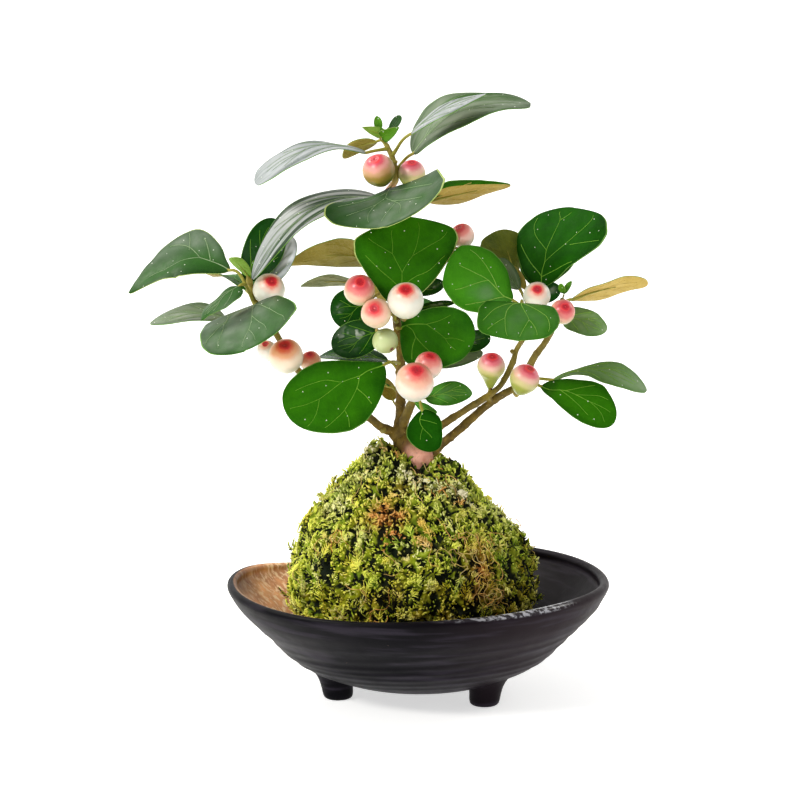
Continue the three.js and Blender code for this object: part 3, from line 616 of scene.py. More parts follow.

# name: stem, base, tip, across, broad, round, arch, cup, look, and what only some leaves have. A leaf runs from base to
# tip. "across" is its full width, with its upper side where axis x across points. It is broadest at the share "broad",
# "round" is 0.5 for a round end and 1 for a pointed one, its middle rises by "arch" and its edges by "cup". "start" is
# where its stalk springs, "bow" bends it sideways, "roll" turns its edge over, "under" and "rim" are other looks, and
# "sheen" is a list of spots of painted sheen, pale where the leaf reflects light: place across and along, and reach.
# The names of all leaves begin with "leaf_".
leaves = {
    "crown_left": ("trunk", (-8.5, -5, 218.5), (-51.5, -14, 207), (4.5, -15.5, -5), 0.48, 0.6, 0.2, 0, "white"),
    "crown_back": ("trunk", (10, 3, 217.5), (56.5, 10, 236.5), (-7, 21.5, 8.5), 0.32, 0.7, 0.2, 0, "pale",
        {"start": 0.86, "sheen": [(-0.1, 0.25, 0.3), (-0.2, 0.7, 0.35)]}),
    "crown_right": ("trunk", (9, -6, 226), (38.5, -6, 241.5), (-2, 16, 3.5), 0.5, 0.6, 0.08, 0, "white",
        {"start": 0.93}),
    "crown_small": ("trunk", (-4.5, 7, 222), (-18, 12, 215), (-4.5, -6, 4.5), 0.5, 0.6, 0.12, 0, "green"),
    "top_front": ("trunk", (1, -5, 204.5), (-3, -36, 192), (49, -11, 13), 0.5, 0.45, 0.06, 0.2, "grey",
        {"rim": "pale"}),
    "top_right_rear": ("trunk", (16, 8, 198.5), (49, 14, 204), (-0.5, 11.5, -9.5), 0.5, 0.6, 0.02, 0, "green",
        {"under": "yellow", "roll": 0.3}),
    "upper_left_long": ("trunk", (-3, 6, 199.5), (-53, -10, 169), (9.5, -20, -5), 0.42, 0.6, 0.21, 0, "silver",
        {"sheen": [(-0.3, 0.88, 0.2)]}),
    "left_inner": ("branch_left", (-56.5, 5, 166.5), (-44.5, 11, 190.5), (-14.5, -6, 7.5), 0.55, 0.5, 0.05, 0, "dark",
        {"start": 0.925, "sheen": [(-0.7, 0.7, 0.15)]}),
    "left_blue": ("branch_left", (-48.5, 10, 163.5), (-39, 18, 183), (-11, 4, 3.5), 0.55, 0.5, 0.05, 0, "blue",
        {"start": 0.975, "sheen": [(-0.6, 0.6, 0.4), (-0.2, 0.95, 0.25)]}),
    "left_outer": ("branch_left", (-63, -1, 171.5), (-103.5, 5, 161.5), (1, -26, -19.5), 0.32, 0.8, 0.05, 0, "grey",
        {"start": 0.94, "bow": 0.32, "sheen": [(-0.6, 0.45, 0.3)], "rim": "pale"}),
    "left_small": ("branch_left", (-58.5, -11, 166.5), (-73, -19, 154), (8.5, -11, -2.5), 0.45, 0.55, 0.08, 0, "grey",
        {"start": 0.885, "sheen": [(-1.0, 0.6, 0.45)]}),
    "left_front": ("branch_left", (-52.5, -9, 159), (-54.5, -38, 145), (38, -10.5, 16.5), 0.55, 0.5, 0.08, 0, "grey",
        {"start": 0.76, "sheen": [(-0.3, 0.4, 0.45), (0.3, 0.15, 0.3)]}),
    "left_rear": ("branch_left", (-65.5, 12, 150.5), (-96, 18, 147.5), (-3.5, -21, -5), 0.5, 0.6, 0.1, 0, "pale"),
    "mid_left_rear": ("trunk", (-3, 9, 173.5), (-40.5, 21, 171), (-5, -12.5, 13), 0.5, 0.55, 0.12, 0, "green"),
    "center": ("trunk", (3, -12, 156), (7.5, -6, 193.5), (-43, 1.5, 4.5), 0.68, 0.52, 0.04, -0.05, "green",
        {"start": 0.45, "rim": "pale"}),
    "center_right": ("branch_right_mid", (49.5, -4, 160), (23.5, -13, 176.5), (-10.5, -10.5, -22.5), 0.55, 0.5, 0.05, 0,
        "light", {"start": 0.9, "sheen": [(0.3, 0.35, 0.2)]}),
    "right_front": ("branch_right_mid", (52.5, -13, 160), (50, -40, 149), (34, -2.5, -2), 0.55, 0.45, 0.08, 0, "fresh",
        {"start": 0.84}),
    "right_upper": ("branch_right_mid", (61, 4, 164.5), (75, 17, 194.5), (-31.5, 33, 0.5), 0.6, 0.5, 0.05, 0, "deep",
        {"start": 0.97}),
    "right_rear": ("branch_right_mid", (52, 11, 165.5), (46, 22, 185.3), (16, 6, -3), 0.6, 0.5, 0.05, 0, "green",
        {"start": 0.93, "under": "dark"}),
    "right_tip": ("branch_right_low", (72.5, -2, 160), (104, 8, 165), (-1.5, 9.5, -10), 0.5, 0.6, 0.06, 0, "green",
        {"start": 0.97, "under": "yellow"}),
    "right_low_rear": ("branch_right_low", (69.5, 6, 151.5), (87, -2, 147.5), (6.5, 10, 9), 0.5, 0.55, 0.1, 0, "soft",
        {"start": 0.86, "sheen": [(0, 0.6, 0.6)]}),
    "low_right_upper": ("branch_right_low", (66, 2, 127), (103, -4, 123.5), (2.5, 13.5, 6), 0.5, 0.6, 0.2, 0, "soft",
        {"start": 0.57, "under": "yellow", "sheen": [(0, 0.9, 0.4)]}),
    "low_right": ("branch_right_low", (61, -5, 125.5), (89.5, -20, 114), (10, 10, 12), 0.6, 0.5, 0.1, 0, "green",
        {"start": 0.53, "bow": 0.05, "sheen": [(0, 0.2, 0.15)]}),
    "low_left_front": ("trunk", (-1.5, -13, 135.5), (-40, -28, 119), (14.5, -4.5, -29.5), 0.55, 0.5, 0.04, 0, "green",
        {"start": 0.325}),
    "center_low": ("trunk", (5, -6, 149), (34.5, -11, 146.5), (2, 0, 26.5), 0.48, 0.5, 0.05, 0, "green",
        {"start": 0.43}),
    "mid_left_dark": ("trunk", (-6.5, 5, 158), (-22.5, 0, 153), (5.5, -3, -15.5), 0.55, 0.5, 0.05, 0, "dark",
        {"sheen": [(-0.2, 0.8, 0.12)]}),
    "mid_left_gloss": ("trunk", (-3.5, -3, 147.5), (-22, -8, 141), (6, -5.5, -13), 0.5, 0.5, 0.06, 0, "dark",
        {"start": 0.415, "sheen": [(-0.2, 0.6, 0.3)]}),
    "low_left_rear": ("trunk", (0, 2, 134.5), (-27.5, 8, 135.5), (-3, -13.5, -4), 0.5, 0.6, 0.08, 0, "dark"),
    "mid_left_thin": ("trunk", (-11.5, 12, 164.5), (-35.5, 22, 162), (-3.5, -6.5, 5.5), 0.45, 0.9, 0.08, 0, "green",
        {"under": "grey"}),
    "low_center_right": ("stem_front", (15, -6, 121), (33.5, -10, 123.5), (0.5, 8, 8.5), 0.5, 0.6, 0.08, 0, "light"),
    "low_front_small": ("stem_front", (13.5, -18, 118), (17.5, -26, 103), (14.5, 1, 3.5), 0.5, 0.5, 0.05, 0, "deep"),
}
blade = {
    "thick": 0.5, "grid": (60, 64), "smallGrid": (30, 28), "narrow": 9,  # rows and points round, also of a narrow leaf
    "steps": 80, "fold": 0.05, "wave": 0.4, "groove": 0.08, "puff": 0.35, "vein": (0.56, 0.2),
    "sheen": (0.1, 0.6, 0.5), "darkSheen": (0.1, 0.6, 0.18),
}
rib = {"reach": (0.03, 0.6), "steps": 12, "radius": 0.8, "tip": 0.14}  # the stalk goes on as a rib under the blade
dots = {"area": 110, "count": (2, 12), "apart": 4.2, "radius": (0.17, 0.27), "tries": 400, "sides": 6}
leafSteps = np.arange(blade["steps"] + 1)  # a leaf keeps its shape at this many places along it

# Half widths in millimetres, on the side of "across" and then on the other, of leaves that bulge more to one side.
outlineAt = [0, 0.1, 0.25, 0.4, 0.55, 0.7, 0.85, 0.95, 1]
outlines = {
    "center": ([3, 9, 14.5, 19, 20, 12, 4], [3, 10, 14.5, 17.5, 20.5, 21.5, 19]),
    "center_low": ([5, 8, 10, 11, 11, 9.5, 6], [13, 14.5, 15.5, 14.5, 12.5, 10, 6]),
    "center_right": ([4.5, 9.5, 13, 14.5, 14.5, 12.5, 10], [4, 9, 11, 12.5, 12, 10, 8]),
    "right_upper": ([10, 15.5, 20, 21.5, 20.5, 17, 9], [7, 12, 19, 24, 25.5, 22, 16]),
    "right_front": ([11, 13.5, 15, 16, 15.5, 13.5, 11], [13.5, 15, 16.5, 16.5, 16.5, 16, 14]),
    "low_left_front": ([8, 14, 17.5, 18, 16, 12, 7.5], [3, 6.5, 10, 12.5, 12.5, 10.5, 7.5]),
    "left_outer": ([8.5, 14.5, 15.5, 15.5, 14.5, 10, 4.5], [3.5, 9.5, 15, 10, 4.5, 1.5, 0.5]),
    "left_front": ([11, 15, 19, 22, 23.5, 19, 14], [21, 21.5, 21.5, 20.5, 19.5, 16, 9.5]),
    "left_small": ([6, 8.5, 8.5, 7.5, 5, 2.5, 1], [3, 2.5, 2, 2, 2.5, 2.5, 1.5]),
    "top_front": ([17, 23, 25, 27, 29, 28, 22], [2, 8, 20, 22.5, 22.5, 18.5, 7]),
    "crown_left": ([3, 5, 9, 11, 11, 10, 5.5], [2, 2, 4.5, 5.5, 6, 7, 6.5]),
    "top_right_rear": ([5, 7.5, 8, 7, 5, 3, 1.5], [8, 10, 9, 7, 5, 3.5, 2]),
    "crown_back": ([12, 16, 14.5, 11, 8, 6, 4], [5.5, 11, 13.5, 13, 11.5, 8.5, 5]),
    "crown_right": ([2.5, 3.5, 4.5, 4.5, 4, 2.5, 1], [4, 8, 10, 10, 8, 5, 2.5]),
    "low_right": ([5, 8.5, 10, 11.5, 12, 9, 5.5], [2, 3, 5, 6.5, 7, 6.5, 4.5]),
    "low_right_upper": ([1.5, 2, 3.5, 6, 8, 6.5, 3.5], [2, 3.5, 5.5, 9.5, 10, 8, 4]),
    "right_low_rear": ([6, 6.5, 6.5, 6, 5.5, 4, 2.5], [3.5, 6, 7, 7.5, 7, 5.5, 3.5]),
    "right_tip": ([2.5, 6, 7.5, 7, 5.5, 3.5, 2.5], [1.5, 3, 3.5, 4.5, 5.5, 5, 3.5]),
    "mid_left_rear": ([5, 10.5, 10.5, 8.5, 6.5, 3.8, 2], [4, 8, 8.5, 8.5, 7, 4, 2]),
    "right_rear": ([2, 3, 5, 8, 9, 9, 6], [1, 1.5, 4, 9, 12, 10, 5]),
    "low_front_small": ([4, 6, 6.5, 6, 5.5, 4.5, 3.5], [3.5, 6.5, 8, 8.5, 7.5, 5.5, 3]),
}

# Veins as paths in a blade. Each point is its share across and its share along, in hundredths.
veinForks = [
    (0, 0, 0, 20, 1, 36), (1, 36, 14, 50, 27, 66, 30, 84), (1, 36, -13, 50, -23, 68, -27, 86),
    (14, 50, 38, 62, 62, 74), (-13, 50, -36, 60, -62, 70), (0, 12, 30, 26, 60, 42, 80, 56),
    (0, 14, -32, 28, -60, 42, -80, 52), (20, 58, 8, 76, 2, 88)
]
veins = {
    "center": [
        (0, 0, -15, 14, -10, 30, -5, 42), (-5, 42, 10, 52, 20, 60), (20, 60, 22, 70, 40, 84),
        (20, 60, 50, 67, 75, 73), (-5, 42, -18, 56, -22, 60), (-22, 60, -25, 70, -27, 95),
        (-22, 60, -50, 73, -66, 80, -80, 89), (-12, 24, 23, 33, 53, 42, 76, 55),
        (-12, 26, -42, 39, -71, 48, -86, 65)],
    "center_low": [
        (0, 0, 35, 6, 36, 19, 32, 35), (32, 35, 47, 52, 70, 66), (32, 35, 14, 44, -13, 61),
        (-13, 61, -12, 74, -24, 87), (-13, 61, -31, 67, -51, 76), (30, 8, 10, 14, -18, 22),
        (-18, 22, -50, 19, -83, 20), (-18, 22, -32, 30, -51, 43)],
    "low_left_front": [
        (0, 0, -14, 14, -3, 25), (-3, 25, -8, 34, -10, 43), (-10, 43, -37, 56, -46, 70, -56, 84),
        (-10, 43, 0, 55, 7, 68), (7, 68, 5, 83, -7, 95), (7, 68, 31, 74, 80, 88), (-3, 25, 23, 33, 52, 52),
        (52, 52, 66, 64, 82, 75), (52, 52, 70, 52, 90, 55), (23, 33, 52, 29, 81, 27)],
    "right_upper": [
        (0, 0, 12, 16, 11, 28), (11, 28, 16, 42, 15, 58, 20, 81, 50, 92), (20, 81, 0, 94),
        (16, 42, 56, 58, 70, 67, 85, 80), (11, 28, -18, 48, -39, 69, -52, 79, -70, 92), (-34, 52, -64, 57, -90, 61),
        (14, 12, 60, 26, 84, 44), (13, 10, -52, 21, -83, 32)],
    "right_front": [
        (0, 0, -20, 10, -30, 30, -34, 57), (-34, 57, -29, 94), (-34, 57, -75, 86), (0, 0, -30, 10, -52, 27, -85, 68),
        (0, 0, 2, 12, 24, 58), (24, 58, 7, 93), (24, 58, 60, 90), (0, 0, 20, 10, 66, 47), (66, 47, 84, 82)],
    "center_right": [
        (0, 0, 12, 12, 0, 25, -12, 43, -10, 63, -8, 85), (0, 25, -26, 36, -55, 59, -80, 81),
        (-12, 43, 29, 62, 67, 78), (12, 12, 49, 30, 70, 47, 85, 58)],
    "left_front": [
        (0, 0, 5, 20, 9, 45, 5, 68, -15, 93), (0, 0, -45, 10, -48, 30), (-48, 30, -53, 55, -70, 80),
        (-48, 30, -70, 50, -92, 68), (9, 40, 25, 61, 47, 82), (0, 0, 30, 15, 48, 38, 63, 62, 85, 80),
        (5, 68, 26, 91)],
    "left_outer": [
        (0, 0, 11, 16, 11, 26), (11, 26, -34, 44, -68, 56), (-14, 40, -54, 42, -90, 44),
        (11, 26, 26, 40, 46, 68, 36, 83), (11, 16, -46, 26, -74, 33)],
    "low_right": [
        (0, 0, 0, 10, 29, 31, 24, 65, 36, 91), (29, 31, 62, 45, 86, 60), (27, 45, 48, 63, 74, 83),
        (24, 24, 0, 50, -41, 71), (24, 65, 8, 81, -42, 90)],
    "low_front_small": [(0, 0, -30, 20, -18, 42, 22, 70), (-18, 42, -46, 68), (-30, 20, 33, 32, 69, 41)],
}
midribOnly = [(0, 0, 2, 30, 0, 60, 0, 85), (1, 20, 40, 50), (1, 25, -40, 55)]


# Where a stalk leaves its stem: at a share of it, or at its point nearest to the target, a little towards its root.
def springOf(stem, target, share):
    if share is None:
        shares = np.linspace(0, 1, stalk["samples"] + 1)
        near = np.linalg.norm(pathThrough(stems[stem], shares) - target, axis=1).argmin()
        share = shares[max(0, near - stalk["back"])]
    return pathThrough(stems[stem], np.array([share]))[0]


# A cubic Bezier from the stem to the end, which it enters along the axis.
def stalkPath(stem, share, end, axis, count=14):
    start = springOf(stem, end, share)
    reach = stalk["reach"] * np.linalg.norm(end - start)
    a, b = start + (end - start) * stalk["reach"], end - axis * reach
    t = np.linspace(0, 1, count)[:, None]
    return (1 - t) ** 3 * start + 3 * t * (1 - t) ** 2 * a + 3 * t**2 * (1 - t) * b + t**3 * end


# Squares of the half widths of both sides at each step. Without an outline a side is a power of t up to the broadest
# place and a power of 1 - t after it. An outline's squares run straight between its places and are then smoothed, and
# the root of a straight run to 0 is a round end.
def edgeTable(width, broad, roundness, outline):
    t = np.linspace(0, 1, len(leafSteps))
    rise = roundness * broad / (1 - broad)
    plain = (width / 2 * (t / broad) ** rise * ((1 - t) / (1 - broad)) ** roundness) ** 2
    if outline is None:
        return np.stack([plain, plain])
    bell = np.hanning(11) / np.hanning(11).sum()
    sides = [np.interp(t, outlineAt, np.array([0, *side, 0]) ** 2.0) for side in outline]
    sides = [np.pad(side, 5, mode="reflect", reflect_type="odd") for side in sides]
    return np.stack([np.convolve(side, bell, "valid").clip(0) for side in sides])


def lookUp(held, t):
    return np.interp(t * blade["steps"], leafSteps, held)


def halfWidth(leaf, u, t):
    return np.where(u > 0, *(np.sqrt(lookUp(side, t)) for side in leaf["edge"]))


def leafOf(entry, seed, outline=None, veinPaths=veinForks):
    stem, base, tip, across, broad, roundness, arch, cup, look, *rest = entry
    rest = dict(*rest)
    base, axis = np.array(base, float), np.array(tip, float) - np.array(base, float)
    length = np.linalg.norm(axis)
    axis = axis / length
    across = np.array(across, float)
    across = across - axis * (across @ axis)
    width = np.linalg.norm(across)
    across = across / width
    t = np.linspace(0, 1, len(leafSteps))[:, None]
    rise = length * 4 * t * (1 - t)
    spine = base + axis * length * t + np.cross(axis, across) * arch * rise - across * rest.get("bow", 0) * rise
    right, up, _ = framesAlong(spine, across)
    dice = np.random.default_rng(seed)
    leaf = {
        "stem": stem, "base": base, "axis": axis, "length": length, "width": width, "look": look, "spine": spine,
        "right": right, "up": up, "edge": edgeTable(width, broad, roundness, outline), "bend": 2 * cup / width,
        "thick": blade["thick"] * min(1, width / 8), "wave": blade["wave"] * min(1, width / 25),
        "turns": dice.uniform(1.2, 2.1), "phase": dice.uniform(0, 6.28, 2), "dice": dice, "veins": [],
        "start": None, "under": "olive", "rim": "green", "roll": 0,
        "sheen": [blade["darkSheen" if look == "dark" else "sheen"]], **rest}
    for path in veinPaths:
        knots = [(u / 100, s / 100, 0) for u, s in zip(path[::2], path[1::2])]
        path = pathThrough(knots, np.linspace(0, 1, 4 * len(knots) + 2))[:, :2]
        leaf["veins"].append(np.clip(path, (-0.93, 0.004), (0.93, 0.985)))
    return leaf


# How far each place of the blade is from its nearest vein, in millimetres in the flat blade.
def fromVeins(leaf, u, t):
    line = np.concatenate(leaf["veins"])
    x, y = u * halfWidth(leaf, u, t), t * leaf["length"]
    there = line[:, 0] * halfWidth(leaf, line[:, 0], line[:, 1]), line[:, 1] * leaf["length"]
    return np.sqrt((x[..., None] - there[0]) ** 2 + (y[..., None] - there[1]) ** 2).min(-1)


# A place on the blade at the share u across, from -1 to 1, and t along: spine + right x + up h, where x = u · half
# width and h = bend x² + fold |x| + wave u² sin(turns · 2πt + phase) + puff (1 - u²) (1 - e^-(d/4)²) - groove
# e^-(d/1.8)², with d the distance from the nearest vein; and the upward direction there.
def onBlade(leaf, u, t):
    spine, right, up = (np.stack([lookUp(held, t) for held in leaf[k].T], -1) for k in ("spine", "right", "up"))
    right, up = unit(right), unit(up)
    x = u * halfWidth(leaf, u, np.clip(t, 1e-4, 1 - 1e-4))
    ripple = leaf["wave"] * np.sin(leaf["turns"] * 2 * np.pi * t + np.where(u > 0, *leaf["phase"]))
    d = fromVeins(leaf, u, t)
    puff = blade["puff"] * min(1, leaf["width"] / 25) * (1 - u**2) * (1 - np.exp(-((d / 4) ** 2)))
    groove = blade["groove"] * np.exp(-((d / 1.8) ** 2))
    h = leaf["bend"] * x**2 + blade["fold"] * (np.sqrt(x**2 + 1.0) - 1.0) + ripple * u**2 + puff - groove
    slope = 2 * leaf["bend"] * x + blade["fold"] * x / np.sqrt(x**2 + 1.0)
    return spine + right * x[..., None] + up * h[..., None], unit(up - right * slope[..., None])


# The blade: round each station the upper side and back along the lower side, with a thin rounded edge. It keeps how
# close a vein is, and how much painted sheen lies there: in soft patches round the leaf's own spots, and not on a vein.
def bladePart(leaf):
    rows, around = blade["grid" if leaf["width"] > blade["narrow"] else "smallGrid"]
    t = (0.5 - 0.5 * np.cos(np.pi * np.linspace(0, 1, rows))) * 0.998 + 0.001
    angle = 2 * np.pi * (np.arange(around) + 0.5) / around
    u = 0.7 * np.cos(angle) + 0.3 * (2 * np.abs(angle / np.pi - 1) - 1)  # more evenly spaced than a cosine
    uu, tt = np.meshgrid(u, t)
    place, normal = onBlade(leaf, uu, tt)
    thick = np.minimum(leaf["thick"] / 2, halfWidth(leaf, uu, tt) * 0.8)
    lift = np.sign(np.sin(angle)) * np.abs(np.sin(angle)) ** 0.3 * thick
    points = place + normal * lift[..., None]
    middle = angle + np.pi / around
    rim = np.abs(np.cos(middle)) > 0.99
    under = np.where(np.cos(middle) < leaf["roll"] - 1, slots["top"], slots["under"])
    slot = np.where(rim, slots["edge"], np.where(np.sin(middle) > 0, slots["top"], under))
    d = fromVeins(leaf, uu, tt)
    patch = sum(np.exp(-(((uu - a) ** 2 / 2.2 + (tt - b) ** 2) / reach**2)) for a, b, reach in leaf["sheen"])
    cloud = 0.8 + 0.22 * waves(points.reshape(-1, 3), 8, int(leaf["length"] * 10)).reshape(d.shape)
    sheen = np.clip(patch * cloud * 1.3, 0, 1) * (1 - 0.5 * np.exp(-(d**2)))
    values = {"vein": np.exp(-((d / 0.9) ** 2)), "glow": np.exp(-((d / 4.5) ** 2)), "sheen": sheen}
    return surface(points, slot, np.append((u + 1) / 2, (u[0] + 1) / 2), t, values)


# A ribbon that lies on the blade along a path in it and a little raised. It is widest at the leaf's base.
def veinPart(leaf, path, slot, side=1.0, grow=1.0):
    place, normal = onBlade(leaf, path[:, 0], path[:, 1])
    ahead = unit(np.gradient(place, axis=0))
    out = np.cross(ahead, normal)
    wide, thin = blade["vein"]
    width = (thin + (wide - thin) * (1 - path[:, 1:]) ** 2.2) * 0.5 * grow * min(1, leaf["width"] / 20)
    base = place + normal * side * (leaf["thick"] / 2)
    rise = normal * side
    shape = [(-1, -0.02), (-0.5, 0.1), (0.5, 0.1), (1, -0.02), (0, -0.12)]
    return surface(np.stack([base + out * width * a + rise * b for a, b in shape], 1), slot)


# Pale dots: low six-sided buttons on the blade, away from each other and from the rim.
def dotsPart(leaf):
    dice = leaf["dice"]
    spots = []
    wanted = int(np.clip(leaf["length"] * leaf["width"] / dots["area"], *dots["count"]))
    for u, t in dice.uniform((-0.85, 0.08), (0.85, 0.94), (dots["tries"], 2)):
        x, y = u * halfWidth(leaf, u, t), t * leaf["length"]
        if len(spots) < wanted and all(np.hypot(x - a, y - b) > dots["apart"] for a, b, *_ in spots):
            spots.append((x, y, u, t))
    place, normal = onBlade(leaf, *np.array(spots).T[2:])
    right = unit(np.cross(normal, leaf["axis"]))
    a = np.arange(dots["sides"]) / dots["sides"] * 2 * np.pi
    radius = dice.uniform(*dots["radius"], len(spots))[:, None, None]
    ring = circle(right, np.cross(right, normal), a) * radius
    base, normal = (place + normal * leaf["thick"] / 2)[:, None], normal[:, None]
    rows = np.stack([base + ring * w + normal * h for w, h in ((1, -0.06), (0.95, 0.03), (0.5, 0.07))], 1)
    return [surface(row, slots["dot"]) for row in rows]


def scaled(colour, factor, more=0):
    return rgb(*[min(255, v * factor + more) for v in colour])


softly, sharply = (0.3, 0.6, 0.75), (0.47, 0.55, 0.1)  # how sheen is broken up: two ends of a noise, and what is left


# Upper side: deep green in soft blotches, lighter round the veins, darker at the base and edges and close beside the
# veins, with a faint fine net of veins, painted sheen in pale patches, and on some leaves painted reflection in long
# silver streaks that run out from the midrib at a small angle. A leathery grain and the net make the bump.
def buildLeafTop(name, dark, light, rough, gloss=0.14, sheen=0.0, streak=0.0, pale=(168, 178, 160), broken=softly):
    top, shader, place = newMaterial("leaf_" + name, gloss)
    across, along, _ = coordinates(place, "UV")
    outer = calc("ABSOLUTE", minus(across, 0.5))
    fine = placeGroup(mottle, Vector=place, Size=2.5, Contrast=1.4)[1]
    net = placeGroup(veinNet, Vector=place, Size=1.9, Width=0.1)[0]
    body = layered(
        mottled(place, 11.0, 1.4, dark, light), (times(attribute("glow"), 0.4), scaled(light, 1.15, 6)),
        (between(outer, 0.3, 0.5, 0.0, 0.4), scaled(dark, 0.8)), (times(fine, 0.25), scaled(dark, 0.72)),
        (between(along, 0.2, 0.0, 0.0, 0.4), scaled(dark, 0.6)), (times(net, 0.07), scaled(light, 1.3, 14)))
    # painted sheen: a pale colour in patches where the leaf reflects light
    if sheen:
        shown = between(noise(place, 190.0, 2.0), *broken, 1.0)
        body = blend(times(times(attribute("sheen"), sheen), shown), body, rgb(*pale))
    # painted reflection: long silver streaks
    if streak:
        slant = minus(times(outer, 7.0), times(along, 2.6))
        lines = addNode("CombineXYZ", {0: slant, 1: times(along, 0.9), 2: times(across, 0.8)}).outputs[0]
        ends = (0.41, 0.59) if streak > 0.8 else (0.3, 0.7)
        body = blend(between(noise(lines, 1.2, 2.0, 0.4), *ends, 0.0, streak), body, rgb(*pale))
    body = blend(times(attribute("vein"), 0.15), body, rgb(*dark))
    height = minus(times(noise(place, 2600.0, 2.0), 0.2), times(net, 0.35))
    height = plus(height, times(noise(place, 190.0, 1.0), 3.0))
    paint(shader, body, uneven(place, 220.0, rough - 0.05, rough + 0.09), height, 0.08, 0.5)
    return top


# Lower side: dull olive, its net of veins raised and a little lighter.
def buildLeafUnder(name, dark, light, vein):
    under, shader, place = newMaterial("leafUnder_" + name, 0.2)
    net = placeGroup(veinNet, Vector=place, Size=2.0, Width=0.12)[0]
    body = blend(times(net, 0.22), mottled(place, 9.0, 1.8, dark, light), rgb(*vein))
    paint(shader, body, uneven(place, 300.0, 0.5, 0.66), plus(net, times(noise(place, 2000.0, 2.0), 0.3)), 0.1, 0.6)
    return under


# Veins, rims, stalks and dots: one colour each with a little mottling.
def buildPlain(name, dark, light, rough, size=2.0):
    plain, shader, place = newMaterial(name, 0.25)
    roughness = uneven(place, 900.0, rough - 0.05, rough + 0.1)
    paint(shader, mottled(place, size, 1.8, dark, light), roughness, noise(place, 1800.0, 2.0), 0.05, 0.4)
    return plain


# name: darkest and lightest green, roughness, gloss, painted sheen, painted silver streaks, colour of both, how sheen
# is broken. The grey greens of "white" are painted reflection, for leaves that face the light above, and the green of
# "soft" is lightened as painted light, for leaves that lie in shade.
leafLooks = {
    "green": ((8, 68, 0), (48, 112, 0), 0.52, 0.06),
    "deep": ((3, 50, 0), (26, 84, 2), 0.6, 0.03),
    "light": ((28, 104, 6), (68, 138, 20), 0.48, 0.06, 0.22),
    "fresh": ((20, 92, 2), (60, 124, 12), 0.46, 0.07, 0.1),
    "dark": ((4, 44, 4), (18, 76, 8), 0.24, 0.14, 0.9, 0.0, (204, 212, 204), sharply),
    "grey": ((10, 56, 4), (38, 86, 18), 0.4, 0.1, 0.5, 0.0, (124, 134, 122)),
    "pale": ((30, 68, 20), (62, 98, 40), 0.4, 0.12, 0.55, 0.35, (144, 152, 136)),
    "silver": ((12, 38, 12), (40, 66, 34), 0.36, 0.14, 0.5, 0.85, (164, 168, 168)),
    "soft": ((70, 116, 44), (106, 146, 76), 0.42, 0.1, 0.35, 0.0, (172, 184, 160)),
    "white": ((66, 84, 74), (114, 124, 120), 0.3, 0.14, 0.5, 0.6, (188, 192, 196)),
    "blue": ((10, 44, 30), (34, 72, 56), 0.28, 0.16, 0.95, 0.3, (206, 212, 220)),
    "young": ((42, 108, 10), (98, 152, 36), 0.4, 0.12),
}
underLooks = {  # darkest, lightest and the veins' colour
    "olive": ((122, 110, 26), (170, 154, 76), (180, 166, 96)),
    "yellow": ((180, 150, 60), (210, 184, 104), (214, 194, 124)),
    "grey": ((98, 108, 66), (140, 142, 102), (150, 154, 116)),
    "dark": ((66, 84, 8), (118, 124, 34), (118, 124, 50)),
    "young": ((92, 136, 34), (136, 170, 66), (156, 186, 92)),
}
plainLooks = {
    "leafVein": ((82, 146, 22), (122, 172, 48), 0.5),
    "leafVeinLight": ((118, 172, 52), (156, 198, 92), 0.5),
    "leafVeinSilver": ((104, 136, 84), (150, 168, 132), 0.5),
    "leafRim": ((70, 122, 26), (106, 150, 58), 0.45),
    "leafRimPale": ((130, 160, 70), (180, 192, 116), 0.45),
    "leafStalk": ((118, 116, 30), (168, 162, 70), 0.45, 3.0),
    "leafDot": ((214, 224, 200), (244, 248, 238), 0.5),
    "figStalk": ((120, 108, 40), (172, 154, 84), 0.5, 3.0),
    "figCalyx": ((84, 40, 26), (140, 92, 50), 0.6, 1.5),
}
leafTops = {name: buildLeafTop(name, *look) for name, look in leafLooks.items()}
leafUnders = {name: buildLeafUnder(name, *look) for name, look in underLooks.items()}
plain = {name: buildPlain(name, *look) for name, look in plainLooks.items()}
rims = {"green": plain["leafRim"], "pale": plain["leafRimPale"]}
slots = {"top": 0, "under": 1, "edge": 2, "vein": 3, "dot": 4, "stalk": 5}


def leafParts(leaf):
    parts = [bladePart(leaf)]
    parts += [veinPart(leaf, path, slots["vein"], grow=0.85 if k else 1.0) for k, path in enumerate(leaf["veins"])]
    parts += [veinPart(leaf, path, slots["under"], -1.0, 1.5) for path in leaf["veins"]]
    parts += dotsPart(leaf)
    path = stalkPath(leaf["stem"], leaf["start"], leaf["base"], leaf["axis"])
    flare = 1 + 0.7 * np.exp(-np.linspace(0, 6, len(path)))
    along = np.linspace(*rib["reach"], rib["steps"])
    inner, down = onBlade(leaf, np.zeros(rib["steps"]), along)
    radii = np.linspace(stalk["radius"] * rib["radius"], rib["tip"], rib["steps"]) * min(1, leaf["width"] / 12)
    under = inner - down * (radii * rib["radius"] + leaf["thick"] / 2 * smooth(along, 0, 0.12))[:, None]
    radii = np.append(stalk["radius"] * flare * min(1, leaf["width"] / 10), radii)
    parts.append(tube(np.vstack([path, under]), radii, slot=slots["stalk"]))
    return parts


def looksOf(top, under, rim, line):  # the materials in the order of the slots
    return [leafTops[top], leafUnders[under], rims[rim], line, plain["leafDot"], plain["leafStalk"]]


veinLooks = {"Silver": ("silver", "white", "blue", "pale", "grey"), "Light": ("light", "fresh", "soft")}


